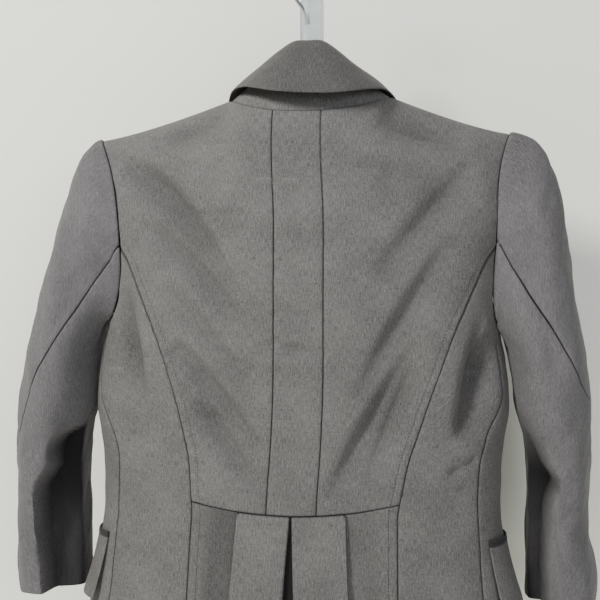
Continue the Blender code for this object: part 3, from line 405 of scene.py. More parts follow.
def seamRelief(angle, z):  # ripples, the layers of seam allowance and the dimple of the topstitching
    gaps = [(angle - princessAngle(z, side)) * -side * 0.0035 for side in (-1, 1)]
    near = np.minimum(np.abs(gaps[0]), np.abs(gaps[1]))
    low = easeStep(-0.30, -0.36, z)
    ripple = np.sin(z * 520 + 3 * np.sin(z * 71)) + 0.6 * np.sin(z * 910 + 1)
    total = seamLook["pucker"] * np.exp(-((near / 0.009) ** 2)) * low * ripple
    total = total * np.where(z < body["waistZ"], 0.4, 1.0)
    for gap in gaps:
        inside = (gap > 0) & (z > body["waistZ"]) & (z < body["princessTopZ"] + 0.004)
        stitch = seamLook["stitchDeep"] * np.exp(-(((gap - seamLook["stitchIn"]) / 0.0012) ** 2))
        layers = 0.00035 * easeStep(0.0105, 0.0088, gap)
        total = total + np.where(inside, stitch - layers, 0.0)
    return total


def bodyFolds(angle, z):
    x, deep = ovalAt(z, angle)
    depth = curvedFolds(x, z, longFolds) + body["creaseDepth"] * troughs(x, z, creases)
    inside = easeStep(body["foldsEndX"], body["foldsFullX"], np.abs(x))
    inside = np.maximum(inside, easeStep(body["foldsEndZ"], body["foldsFullZ"], z))
    return depth * inside * np.clip(deep * 2, 0, 1) * easeStep(0, 0.02, ridgeZ(x) - z)


def bodyRelief(angle, z):
    x = ovalAt(z, angle)[0]
    wavy = unevenness(x, z, 0.0006) * easeStep(0, 0.02, ridgeZ(x) - z)
    return bodyFolds(angle, z) * body["foldDepth"] + wavy + seamRelief(angle, z)


def bodyCloth(name, node, angle, z, sewn, sink=0.0, grain="middle"):
    shade = body["foldShade"] * np.clip(bodyFolds(angle, z) / body["foldFull"], 0, 1)
    relief = bodyRelief(angle, z) + sink
    sewCloth(name, node, bodyPoint(angle, z), bodyNormal(angle, z), sewn, relief, None, grain, shade=shade)


def layOn(name, node, word, angle, z, over, looks, shade=0.0):  # a piece over the body's cloth
    points, normals = bodyPoint(angle, z), bodyNormal(angle, z)
    sewCloth(name + word.title(), node + word, points, normals, (), -over, looks, shade=shade)


# Materials


def toLinear(code):  # sRGB hex to the linear colour that shaders take
    parts = [int(code[i : i + 2], 16) / 255 for i in (1, 3, 5)]
    return (*(c / 12.92 if c <= 0.04045 else ((c + 0.055) / 1.055) ** 2.4 for c in parts), 1.0)


def addNode(tree, kind, settings, inputs):  # one node with its settings, and values or links by socket
    node = tree.nodes.new(kind)
    for key, value in settings.items():
        setattr(node, key, value)
    for key, value in inputs.items():
        if isinstance(value, bpy.types.NodeSocket):
            tree.links.new(value, node.inputs[key])
        else:
            node.inputs[key].default_value = value
    return node


def newLook(name, values):
    look = bpy.data.materials.new(name)
    look.use_nodes = True
    shader = look.node_tree.nodes["Principled BSDF"]
    for key, value in values.items():
        shader.inputs[key].default_value = value
    return look, look.node_tree, shader


def noise(tree, place, scale, detail=2.0):
    spread = addNode(tree, "ShaderNodeMapping", {}, {0: place, "Scale": scale}).outputs[0]
    inputs = {"Vector": spread, "Scale": 1.0, "Detail": detail}
    return addNode(tree, "ShaderNodeTexNoise", {}, inputs).outputs[0]


def plus(tree, value, times, other):
    inputs = {0: value, 1: times, 2: other}
    return addNode(tree, "ShaderNodeMath", {"operation": "MULTIPLY_ADD"}, inputs).outputs[0]


def mixed(tree, share, first, second):
    inputs = {0: share, 6: first, 7: second}
    return addNode(tree, "ShaderNodeMix", {"data_type": "RGBA", "clamp_factor": True}, inputs).outputs[2]


def makeFinish(name, values, scale, first, second, detail=2.0, woven=False):  # two colours in soft clouds
    look, tree, shader = newLook(name, values)
    kind, settings = ("ShaderNodeUVMap", {"uv_map": "threads"}) if woven else ("ShaderNodeTexCoord", {})
    place = addNode(tree, kind, settings, {}).outputs["UV" if woven else "Object"]
    colour = mixed(tree, noise(tree, place, scale, detail), toLinear(first), toLinear(second))
    tree.links.new(colour, shader.inputs["Base Color"])
    return look


def makeSuiting(name, darkThread, lightThread, turned):
    # Wool-blend suiting, woven with two greys end and end, and pressed: a matt mottle in short streaks along
    # the warp, or along the twill on the sleeves, and a faint sheen. Painted shade mixes it towards near black
    # in the seams, folds and recesses. The threads are drawn about twice as coarse as real ones, so that they
    # show.
    sheen = {"Sheen Weight": 0.12, "Sheen Roughness": 0.45, "Sheen Tint": toLinear("#DCD8D6")}
    look, tree, shader = newLook(name, {"Roughness": 0.85, "Specular IOR Level": 0.25, **sheen})
    threads = addNode(tree, "ShaderNodeUVMap", {"uv_map": "threads"}, {}).outputs[0]
    turn = addNode(tree, "ShaderNodeMapping", {}, {0: threads, "Rotation": (0, 0, turned)}).outputs[0]
    value, grains = weave["start"], []
    for row, place in (("streak", turn), ("mottle", threads), ("wide", threads)):
        wide, long, detail, share = weave[row]
        grains.append(noise(tree, place, (1 / wide, 1 / long, 1), detail))
        value = plus(tree, grains[-1], share, value)
    ramp = addNode(tree, "ShaderNodeValToRGB", {}, {0: addNode(
        tree, "ShaderNodeMapRange", {}, {0: value, 1: -1.0, 2: 1.0}).outputs[0]})
    ramp.color_ramp.elements[0].color = toLinear(weave["deepest"])
    ramp.color_ramp.elements[1].color = toLinear(lightThread)
    ramp.color_ramp.elements.new(0.5).color = toLinear(darkThread)
    paintedShade = addNode(tree, "ShaderNodeAttribute", {"attribute_name": "paintedShade"}, {}).outputs["Fac"]
    shadedColour = mixed(tree, paintedShade, ramp.outputs[0], toLinear(weave["shadeColour"]))
    tree.links.new(shadedColour, shader.inputs["Base Color"])
    bump = {"Strength": 0.45, "Distance": 0.0003, "Height": plus(tree, grains[0], 0.8, grains[1])}
    tree.links.new(addNode(tree, "ShaderNodeBump", {}, bump).outputs[0], shader.inputs["Normal"])
    return look


weave = {
    "start": -1.02,  # and what each noise adds to it: its width, length, detail and share
    "streak": (0.0009, 0.0075, 2.0, 1.2),
    "mottle": (0.0015, 0.0021, 3.0, 1.1),
    "wide": (1 / 16, 1 / 16, 3.0, 0.7),
    "deepest": "#151416",
    # near black that the painted shade mixes the cloth towards
    "shadeColour": "#0B0A0C",
}
clothColours = {
    "dark": "#3C3B3B",
    "light": "#72706F",
    # the same cloth on the sleeves, its greys a touch darker as painted shade
    "sleeveDark": "#3C3A3C",
    "sleeveLight": "#706E70",
}
suiting = makeSuiting("wool suiting", clothColours["dark"], clothColours["light"], 0.0)
sleeveCloth = makeSuiting("wool suiting sleeves", clothColours["sleeveDark"], clothColours["sleeveLight"], 0.6)
# Acetate satin, woven smooth and dark: a soft shine along the folds
lining = makeFinish(
    "acetate lining", {"Roughness": 0.42, "Specular IOR Level": 0.4}, (1 / 0.0009, 1 / 0.02, 1),
    "#19181C", "#2A292E", woven=True)
# Spun polyester sewing thread, a shade darker than the cloth, with the shine of its twist
thread = makeFinish("polyester thread", {"Roughness": 0.55}, (2500, 2500, 2500), "#1E1D1E", "#3A3838")
# Injection-moulded polystyrene, clear and glossy with a cold tint, with painted light in its colour: darker
# and brighter clouds for the look of its facets
clearPlastic = makeFinish(
    "clear polystyrene", {"Roughness": 0.07, "IOR": 1.59, "Transmission Weight": 0.72}, (70, 70, 70),
    "#B9C8CF", "#E3E9EA")
# Drawn steel wire, bright, with fine lines along it
steelWire = makeFinish(
    "drawn steel wire", {"Metallic": 1.0, "Roughness": 0.28}, (2500, 2500, 60), "#8C9098", "#D4D7DB")
# Cast polyester in the look of dark horn, polished: brown-grey clouds under a clear shine
horn = makeFinish("polyester horn", {"Roughness": 0.22}, (130, 60, 130), "#17161A", "#4A4440", 4.0)
print("materials made")


# Body panels


def waistZ(x):
    share = np.clip(np.abs(x) / princessHalf(body["waistZ"]), 0, 1)
    return body["waistZ"] - body["waistDip"] * (1 - share**2)


def armholeAngle(z, front, side):
    half = tableCurve(armhole, z, 2 if front else 1)
    return angleAt(lean(z) + drift(z) + side * half, z, front)


def sideAngle(z, side):
    return side * angleAt(tableCurve(seams, z, 3) * halfWidth(z), z)


def scoopShare(z):
    fall = (body["princessTopZ"] - z) / (body["princessTopZ"] - body["underarmZ"])
    return 1 - np.sqrt(np.clip(1 - np.clip(fall, 0, 1) ** 2, 0, 1))


def backOuter(z, side):
    return np.where(z <= body["princessTopZ"], princessAngle(z, side), armholeAngle(z, False, side))


def frontOuter(z, side):
    high = armholeAngle(body["princessTopZ"], True, side)
    scooped = high + scoopShare(z) * (sideAngle(body["underarmZ"], side) - high)
    above = np.where(z >= body["princessTopZ"], armholeAngle(z, True, side), scooped)
    return np.where(z <= body["underarmZ"], sideAngle(z, side), above)


def frontTopZ(x, side):  # roll line up to the neck, and then the shoulder seam
    start, end = -side * front["overlap"], body["neckX"] + side * body["neckHalf"]
    share = np.clip((x - start) / (end - start), 0, None)
    roll = front["breakZ"] + (body["shoulderNeckZ"] - front["breakZ"]) * share**0.93
    return np.where((x - end) * side >= 0, ridgeZ(x), roll)


def fromLeft(grid, side):  # columns that run outwards from the middle, turned to run from left to right
    return grid if side > 0 else grid[:, ::-1]


front = {
    "overlap": 0.018,
    "breakZ": -0.415,
    "underlap": 0.0030,  # the left front lies this far inside the right one
    "levelTo": 0.075,  # columns stand upright from the front edge to here, and then turn to the side seam
}
upShares = edgeShares(140, 0.0022)
tipZ = body["shoulderTipZ"]

share, rise = np.meshgrid(edgeShares(14, 0.012), upShares)
z = body["waistZ"] + rise * (tipZ - body["waistZ"])
for _ in range(8):
    x = lean(z) + (2 * share - 1) * (body["stripHalf"] - halfSeam)
    low = waistZ(x) + halfSeam
    z = low + rise * (backTopZ(x) - halfSeam - low)
bodyCloth("centreStrip", "back_centre_strip", angleAt(x, z), z, ("left", "right", "bottom", "top"))

columns = np.concatenate([edgeShares(40, 0.0045)[:-5], 1 - np.arange(14, 2, -1) * 0.0065])
columns = np.unique(np.concatenate([columns[columns < 0.905], columns[-12:], 1 - np.arange(4) * 0.0040]))
share, rise = np.meshgrid(columns, upShares)
for side, word in bothSides:
    edgeZ = body["waistZ"] + rise * (tipZ - body["waistZ"])
    outerX = ovalAt(edgeZ, movedIn(backOuter(edgeZ, side), edgeZ, -side * halfSeam))[0]
    z = edgeZ
    for _ in range(10):
        innerX = lean(z) + side * (body["stripHalf"] + halfSeam)
        x = innerX + share * (outerX - innerX)
        low = waistZ(x) + halfSeam
        z = low + rise * (backTopZ(x) - halfSeam - low)
    z = z + (edgeZ + halfSeam * (1 - 2 * rise) - z[:, -1:]) * share**3
    angle, z = fromLeft(angleAt(x, z), side), fromLeft(z, side)
    grain = "left" if side > 0 else "right"
    bodyCloth("back" + word.title(), "back_" + word, angle, z, ("left", "right", "bottom", "top"), grain=grain)

hemLevels = [body["hemZ"], -0.708, -0.668, -0.630, -0.597]
nearLevels = [-0.545, -0.523, -0.501, -0.478, -0.456, -0.434, -0.412, -0.390, -0.368, -0.343]
nearLevels = hemLevels + [body["waistZ"], *nearLevels, body["princessTopZ"]]
farLevels = [-0.548, -0.534, -0.521, -0.507, -0.494, -0.481, -0.468, -0.454, -0.436, -0.415]
farLevels = hemLevels + [body["waistZ"], *farLevels, body["underarmZ"]]
share, rise = np.meshgrid(edgeShares(30, 0.008), upShares)
number = np.linspace(0, 1, len(nearLevels))
nearZ, farZ = np.interp(rise, number, nearLevels), np.interp(rise, number, farLevels)
across = share + (np.sqrt(1 - (1 - share) ** 2) - share) * rise**3
for side, word in bothSides:
    z = nearZ + across * (farZ - nearZ) - np.where(rise == 1, halfSeam, 0)
    near = movedIn(princessAngle(nearZ, side), nearZ, side * halfSeam)
    far = movedIn(sideAngle(farZ, side), farZ, -side * halfSeam)
    angle = fromLeft(near + share * (far - near), side)
    bodyCloth("side" + word.title(), "side_" + word, angle, fromLeft(z, side), ("left", "right", "top"))

inner, rise = np.meshgrid(np.linspace(0, 1, 34), upShares)
outerShare = np.meshgrid(endShares(34, 0.005), upShares)[0]
for side, word in bothSides:
    edgeZ = body["hemZ"] + rise[:, :1] * (tipZ - body["hemZ"])
    outer = movedIn(frontOuter(edgeZ, side), edgeZ, side * halfSeam)
    x = side * (-front["overlap"] + inner * (front["levelTo"] + front["overlap"]))
    zInner = body["hemZ"] + rise * (frontTopZ(x, side) - halfSeam - body["hemZ"])
    angleInner = angleAt(x, zInner, True)
    angleInner = np.where(side * angleInner < 0, angleInner + side * 360, angleInner)
    angleOuter = angleInner[:, -1:] + outerShare * (outer - angleInner[:, -1:])
    zOuter = edgeZ + 0 * angleOuter
    for _ in range(12):
        xOuter = ovalAt(zOuter, angleOuter)[0]
        zOuter = body["hemZ"] + rise[:, :1] * (frontTopZ(xOuter, side) - halfSeam - body["hemZ"])
    zOuter = zOuter + (edgeZ - halfSeam * (rise[:, :1] == 1) - zOuter[:, -1:]) * outerShare**3
    angle = fromLeft(np.hstack([angleInner, angleOuter[:, 1:]]), -side)
    z = fromLeft(np.hstack([zInner, zOuter[:, 1:]]), -side)
    sink = 0.0 if side > 0 else front["underlap"] * easeStep(-0.050, -0.026, ovalAt(z, angle)[0])
    sewn = ("left" if side > 0 else "right", "top")
    bodyCloth("front" + word.title(), "front_" + word, angle, z, sewn, sink, "right" if side > 0 else "left")
print("body panels sewn")


# Peplum, with two box pleats side by side

pleats = {
    "wide": 0.0525,  # each box at the waist
    "under": 0.019,  # cloth folded under at each edge
    "layer": 0.0019,  # from one layer's middle to the next at the waist
    "layerHem": 0.0062,
    "gap": 0.0022,  # half the gap between the boxes at the waist
    "gapHem": 0.0110,
    "spreadHem": 0.012,  # how far the outer edges move out there
    "gapShade": 0.97,  # painted shade in the gap and under the boxes' edges
    # and painted shade on the recessed cloth, left and right
    "leftShade": 0.42,
    "rightShade": 0.14,
}


def foldArc(start, turn, radius):  # a half turn, bulging towards turn, going outwards
    bends = [math.pi * i / 6 for i in range(1, 6)]
    return [(start[0] + turn * radius * math.sin(a), start[1] + radius * (1 - math.cos(a))) for a in bends]


def straightRun(x0, x1, level, count):
    return [(x0 + (x1 - x0) * i / count, level) for i in range(count + 1)]


def pleatPath(z):  # right half of the cloth seen from above, x and height over the body's surface
    down = (float(waistZ(0)) - z) / (float(waistZ(0)) - body["hemZ"])
    layer = pleats["layer"] + (pleats["layerHem"] - pleats["layer"]) * down
    gap = pleats["gap"] + (pleats["gapHem"] - pleats["gap"]) * down
    edge, under = pleats["wide"] + pleats["spreadHem"] * down, pleats["under"]
    end, turn = float(princessHalf(z)) - halfSeam, layer / 2
    path = straightRun(gap * 0.5, gap + under, -layer, 3) + foldArc((gap + under, -layer), 1, turn)
    path += straightRun(gap + under, gap + turn, 0.0, 3) + foldArc((gap + turn, 0.0), -1, turn)
    swell = [0.0008 * down * math.sin(math.pi * i / 14) for i in range(15)]
    face = straightRun(gap + turn, edge - turn, layer, 14)
    path += [(x, level + rounded) for (x, level), rounded in zip(face, swell)]
    path += foldArc((edge - turn, layer), 1, -turn) + straightRun(edge - turn, edge - under, 0.0, 3)
    path += foldArc((edge - under, 0.0), -1, -turn) + straightRun(edge - under, edge - under * 0.4, -layer, 2)
    for share in (0.12, 0.25, 0.35, 0.47, 0.6, 0.7, 0.8, 0.88, 0.94, 0.97, 0.985):
        path.append((edge + (end - edge) * share, -layer * (1 - float(easeStep(0.25, 0.8, share)))))
    return path + [(end, 0.0)]


def peplumGrid():
    angles, heights, levels = [], [], []
    for step in [*np.linspace(0, 0.97, 60), 0.98, 0.987, 0.994, 1.0]:
        z = body["hemZ"] + step * (body["waistZ"] - body["hemZ"])
        right = np.array(pleatPath(z))
        x = np.concatenate([-right[::-1, 0], right[:, 0]])
        height = np.concatenate([right[::-1, 1], right[:, 1]])
        shift = drift(body["waistZ"]) * (x / x[-1]) ** 4
        z = body["hemZ"] + step * (waistZ(x + shift) - halfSeam - body["hemZ"])
        angles.append(angleAt(x + lean(z) + shift, z))
        heights.append(height)
        levels.append(z)
    return np.array(angles), np.array(heights), np.array(levels)


angle, height, z = peplumGrid()
base = bodyNormal(angle, z)
points = bodyPoint(angle, z) + base * height[..., None]
facing = unit(np.cross(np.gradient(points, axis=1), (0.0, 0.0, 1.0)))
points = points - base * unevenness(points[..., 0], z, 0.0007)[..., None]
inGap = np.abs(points[..., 0] - lean(z)) < pleats["under"] + 0.006
# painted shade on the recessed layers and in the gap between the boxes
recess = np.where(points[..., 0] < 0, pleats["leftShade"], pleats["rightShade"])
recess = np.where(inGap, pleats["gapShade"], recess) * easeStep(0.0012, -0.0022, height)
sewCloth("peplum", "back_peplum", points, facing, ("left", "right", "top"), shade=recess)
print("peplum pleated")


# Collar

collar = {
    "full": 0.0045,  # how far the fall rounds outwards between its roll and its edge
    "backShare": 0.55,
    "standIn": 0.0019,
    "standLow": 0.0004,
    "standLift": -0.0012,
    "standInside": 0.0019,  # its foot is sewn in behind the back's edge
    "edgeRise": 0.0050,  # the lower edge hangs this much higher at the back left
    "standFront": 0.019,
    "middleY": 0.012,
    "shade": 0.38,  # it leans back from the light
}
# roll x, y, z and edge x, y, z from the centre back to the front end
collarLines = [
    (0.0, -0.027, -0.1165, 0.0, -0.066, -0.1755),
    (0.013, -0.0265, -0.1168, 0.024, -0.0645, -0.1752),
    (0.025, -0.023, -0.1235, 0.046, -0.057, -0.1725),
    (0.038, -0.016, -0.136, 0.064, -0.04, -0.168),
    (0.05, -0.005, -0.148, 0.079, -0.012, -0.165),
    (0.059, 0.01, -0.16, 0.0895, 0.018, -0.1745),
    (0.065, 0.026, -0.173, 0.099, 0.042, -0.195),
    (0.066, 0.041, -0.188, 0.099, 0.06, -0.215),
]


def collarLine(share, first):
    rows = [(i / (len(collarLines) - 1), *row) for i, row in enumerate(collarLines)]
    x, y, z = (tableCurve(rows, np.abs(share), first + 1 + k) for k in range(3))
    return np.stack([body["neckX"] + np.sign(share) * x, y, z], -1)


def neckLine(share):  # seam of the stand, round the neck and down the roll lines
    side = np.where(share >= 0, 1.0, -1.0)
    reach = np.clip(np.abs(share) / collar["backShare"], 0, 1)
    x = body["neckX"] + side * body["neckHalf"] * np.sin(reach * math.pi / 2) ** 0.9
    z = neckZ(x)
    behind = bodyPoint(angleAt(x, z), z)
    forward = np.clip((np.abs(share) - collar["backShare"]) / (1 - collar["backShare"]), 0, 1)
    x = body["neckX"] + side * (body["neckHalf"] - collar["standFront"] * forward)
    z = np.where(side > 0, frontTopZ(x, 1), frontTopZ(x, -1))
    before = bodyPoint(angleAt(x, z, True), z)
    return np.where((reach < 1)[..., None], behind, before)


share, down = np.meshgrid(np.linspace(-1, 1, 97), edgeShares(22, 0.012))
roll, edge = collarLine(share, 0), collarLine(share, 3)
edge[..., 2] += collar["edgeRise"] * np.exp(-(((share + 0.36) / 0.24) ** 2))
outward = unit((edge - roll) * (1, 1, 0))
bulge = (collar["full"] * np.sin(math.pi * down**0.7))[..., None]
points = roll + (edge - roll) * down[..., None] + outward * bulge + bulge * 0.5 * np.array((0, 0, 1))
normals = unit(outward + np.array((0, 0, 0.6)))
wavy = unevenness(points[..., 0] * 0.7, points[..., 2] + points[..., 1], 0.0007) * down
sewCloth("collarFall", "collar_fall", points, normals, (), wavy, [suiting, suiting], shade=collar["shade"])

share, rise = np.meshgrid(np.linspace(-1, 1, 97), edgeShares(8, 0.02))
low, roll = neckLine(share), collarLine(share, 0)
outward = unit((roll - np.array((body["neckX"], collar["middleY"], 0))) * (1, 1, 0))
high = roll - outward * collar["standIn"] - np.array((0, 0, collar["standLow"]))
low = low + np.array((0, 0, collar["standLift"])) - outward * collar["standInside"]
points = low + (high - low) * rise[..., None]
sewCloth("collarStand", "collar_stand", points, outward, ("bottom",), 0.0, [suiting, lining])
print("collar set")


# Sleeves

sleeve = {
    "headZ": -0.425,
    "headRings": 9,
    "lowRings": 10,
    "roundness": 2.3,
    "lap": 0.0014,  # starts this far outside the body's cloth
    "over": 0.0007,  # and covers its edge by this much
    "frontSeam": 235.0,
    "headOut": 0.47,
    "headFull": 0.010,
    "headIn": 0.026,
    "seamAngle": 0.3,
    "seamLow": 6.0,
    "seamHigh": 150.0,
    "fullInside": {-1: 0.0, 1: 0.0095},  # the cloth that bunches under the arm
    "fullZ": -0.385,
    "fullTall": 0.035,
    "tuck": 0.0003,  # the first edge turns in
    "recessIn": 0.010,  # the fallen cloth lies this far behind the arm's middle
    # painted shade on the cloth fallen in behind the edge
    "recessShade": 0.80,
    "recessShadeTop": 0.18,  # and this much darker at its top
}
heads = {-1: (0.0, 0.45), 1: (0.38, 0.53)}  # how square each head's top is, and how much runs straight down
# z, inner, outer left, outer right, middle y, half depth
sleeveRings = [
    (-0.425, 0.2105, 0.278, 0.2805, 0.0, 0.06),
    (-0.474, 0.215, 0.2865, 0.2855, 0.002, 0.06),
    (-0.51, 0.224, 0.2895, 0.2855, 0.005, 0.059),
    (-0.55, 0.2275, 0.2905, 0.2845, 0.008, 0.0575),
    (-0.6, 0.227, 0.2915, 0.2845, 0.012, 0.056),
    (-0.64, 0.227, 0.2945, 0.2935, 0.015, 0.055),
    (-0.668, 0.2275, 0.292, 0.2915, 0.017, 0.0545),
]
# z and x of the hind-arm seam, left and right
hindSeam = [
    (-0.318, 0.175, 0.197),
    (-0.348, 0.1955, 0.213),
    (-0.382, 0.216, 0.233),
    (-0.41, 0.235, 0.2505),
    (-0.441, 0.254, 0.267),
    (-0.48, 0.27, 0.285),
    (-0.53, 0.287, 0.3),
]
# The arm's inner half falls in behind an edge: z and x of that edge, and how far, as a share
innerEdges = {
    -1: [
        (-0.425, 0.193, 0.0),
        (-0.4547, 0.2006, 0.3),
        (-0.4954, 0.2202, 0.75),
        (-0.5061, 0.2387, 0.85),
        (-0.5383, 0.2491, 0.85),
        (-0.5567, 0.2607, 0.85),
        (-0.5878, 0.2628, 0.8),
        (-0.63, 0.26, 0.75),
        (-0.668, 0.257, 0.75),
    ],
    1: [
        (-0.47, 0.215, 0.0),
        (-0.507, 0.234, 0.55),
        (-0.5334, 0.246, 0.8),
        (-0.542, 0.252, 0.85),
        (-0.562, 0.247, 0.85),
        (-0.65, 0.244, 0.85),
        (-0.668, 0.244, 0.85),
    ],
}
# Troughs of the sleeves, as those of the back, with x for the right arm
leftSleeveFolds = [
    (0.205, -0.518, 0.233, -0.55, 0.007, 0.003),
    (0.223, -0.58, 0.248, -0.62, 0.008, 0.0026),
    (0.214, -0.356, 0.244, -0.42, 0.012, 0.004),
    (0.233, -0.29, 0.227, -0.35, 0.013, 0.003),
    (0.262, -0.43, 0.274, -0.495, 0.008, 0.0018),
    (0.265, -0.52, 0.28, -0.545, 0.006, 0.0016),
]
rightSleeveFolds = [
    (0.225, -0.352, 0.248, -0.435, 0.012, 0.0042),
    (0.24, -0.28, 0.23, -0.34, 0.014, 0.0032),
    (0.248, -0.468, 0.256, -0.47, 0.003, 0.0016),
    (0.264, -0.45, 0.26, -0.52, 0.009, 0.0016),
    (0.256, -0.56, 0.272, -0.6, 0.008, 0.0016),
]


def ringPoint(z, angle, side):  # 0 outside, 90 at the back, 180 inside, 270 in front; given for the right arm
    inner, outer = tableCurve(sleeveRings, z, 1), tableCurve(sleeveRings, z, 3 if side > 0 else 2)
    turn, power = np.radians(angle), 2 / sleeve["roundness"]
    x = (inner + outer) / 2 + (outer - inner) / 2 * signedPower(np.cos(turn), power)
    y = tableCurve(sleeveRings, z, 4) - signedPower(np.sin(turn), power) * tableCurve(sleeveRings, z, 5)
    return np.stack([x, y, z + 0 * x], -1)


def armholePoint(angle, side):  # over the armhole's edge: 0 at the shoulder tip, 90 behind, 180 under the arm
    up = (1 + np.cos(np.radians(angle))) / 2
    z = body["underarmZ"] + (tipZ - body["underarmZ"]) * up
    near, far = princessAngle(body["princessTopZ"], side), sideAngle(body["underarmZ"], side)
    scooped = near + scoopShare(z) * (far - near)
    behind = np.where(z >= body["princessTopZ"], armholeAngle(z, False, side), scooped)
    over = side * sleeve["over"] * np.abs(np.sin(np.radians(angle)))
    turn = np.where(angle > 180, movedIn(frontOuter(z, side), z, over), movedIn(behind, z, -over))
    return (bodyPoint(turn, z) + bodyNormal(turn, z) * sleeve["lap"]) * (side, 1, 1)


def headPoint(angle, share, side):
    turn = np.radians(angle)
    top = (1 + np.cos(turn)) / 2
    square, straight = heads[side]
    start, end = armholePoint(angle, side), ringPoint(sleeve["headZ"], angle, side)
    drop, out = start[..., 2] - end[..., 2], end[..., 0] - start[..., 0]
    reach = out * (sleeve["headOut"] + square * top**2) + sleeve["lap"]
    first = start + np.stack([reach, -np.sin(turn) * sleeve["headFull"], -drop * 0.03], -1)
    last = end + np.stack([-sleeve["headIn"] * top, 0 * top, drop * straight], -1)
    share = share[..., None]
    left = 1 - share
    return start * left**3 + 3 * share * left * (first * left + last * share) + end * share**3


def sleevePoint(angle, ring, side):
    share = np.clip(ring / sleeve["headRings"], 0, 1) ** 1.15
    down = np.clip((ring - sleeve["headRings"]) / sleeve["lowRings"], 0, 1)
    z = sleeve["headZ"] + (sleeveRings[-1][0] - sleeve["headZ"]) * down
    inHead = (ring <= sleeve["headRings"])[..., None]
    return np.where(inHead, headPoint(angle % 360, share, side), ringPoint(z, angle, side))


def hindAngle(ring, side):  # where a ring meets the hind-arm seam, from the princess seam's top down
    up = (body["princessTopZ"] - body["underarmZ"]) / (tipZ - body["underarmZ"])
    top = math.degrees(math.acos(2 * up - 1))
    low, high = sleeve["seamLow"] + 0 * ring, sleeve["seamHigh"] + 0 * ring
    for _ in range(24):
        middle = (low + high) / 2
        place = sleevePoint(middle, ring, side)
        outside = place[..., 0] > tableCurve(hindSeam, place[..., 2], 2 if side > 0 else 1)
        low, high = np.where(outside, middle, low), np.where(outside, high, middle)
    return top + (low - top) * np.clip(ring / 1.3, 0, 1)


def makeSleeve(half, side, word):
    upper, rings = half == "upper", sleeve["headRings"] + sleeve["lowRings"]
    ring = np.concatenate([[0, 0.03, 0.07, 0.13, 0.2, 0.3], np.linspace(0.42, rings - 0.2, 128)])
    ring = np.concatenate([ring, [rings - 0.1, rings]])
    hind = hindAngle(ring, side)
    fore = sleeve["frontSeam"] + 0 * hind
    start, end = (fore - 360, hind) if upper else (hind, fore)
    share = edgeShares(58 if upper else 84, 0.004)
    first = (start + sleeve["seamAngle"])[:, None] + 0 * share
    angle = first + share * ((end - start - 2 * sleeve["seamAngle"])[:, None])
    ring = ring[:, None] + 0 * angle
    points = sleevePoint(angle, ring, side)
    edgeX, fall = (tableCurve(innerEdges[side], points[..., 2], column) for column in (1, 2))
    turned, out = np.sin(np.radians(angle)), np.cos(np.radians(angle))
    near = np.clip(-out, 0, 1) * np.exp(-(((points[..., 2] - sleeve["fullZ"]) / sleeve["fullTall"]) ** 2))
    points[..., 0] -= sleeve["fullInside"][side] * near * easeStep(1, 5, ring)
    inner = fall * easeStep(0, 0.005, edgeX - points[..., 0]) * np.clip(turned * 5, 0, 1)
    plane = tableCurve(sleeveRings, points[..., 2], 4) - sleeve["recessIn"]
    points[..., 1] += np.where(turned > 0, (plane - points[..., 1]) * np.clip(inner, 0, 1), 0)
    normals = gridNormals(points)
    facing = (normals * np.stack([out, -turned, 0 * angle], -1)).sum(-1, keepdims=True)
    normals = normals * np.where(facing < 0, -1.0, 1.0)
    folds = troughs(points[..., 0], points[..., 2], rightSleeveFolds if side > 0 else leftSleeveFolds)
    away = easeStep(0, 2.5, ring)
    relief = folds * np.clip(turned * 1.6, 0, 1) * away + sleeve["tuck"] * np.exp(-((ring / 0.12) ** 2))
    relief = relief + unevenness(points[..., 0] + points[..., 1], points[..., 2], 0.0011) * away
    # painted shade on the fallen-in cloth, stronger towards its top
    dark = sleeve["recessShade"] + sleeve["recessShadeTop"] * easeStep(-0.61, -0.53, points[..., 2])
    points, normals, dark = points * (side, 1, 1), normals * (side, 1, 1), np.clip(inner * 1.2, 0, 1) * dark
    sewCloth(f"{half}Sleeve{word.title()}", f"{half}_sleeve_{word}", points, normals,
             ("left", "right", "bottom"), relief, [sleeveCloth, lining], shade=dark)


for side, word in bothSides:
    for half in ("upper", "under"):
        makeSleeve(half, side, word)
print("sleeves set in")


# Pocket flaps, welts and lapels

pocket = {
    "back": 64.0,  # degrees round the body from centre back
    "front": 137.0,
    "topZ": -0.6085,
    "tall": 0.060,
    "standOff": 0.0055,
    "welt": 0.0065,
    "weltShade": 0.8,
    "lip": 0.0004,  # how far it rounds outwards
}
lapel = {
    "start": {-1: -0.012, 1: -0.014},
    "end": 0.022,
    "wide": 0.056,
    "startWide": 0.006,
    "slope": 0.30,
    "fold": 0.0035,
    "lift": 0.0023,
    "open": 0.0022,
}
onTop = 0.0026  # middle of a layer laid on another, over the middle of that one

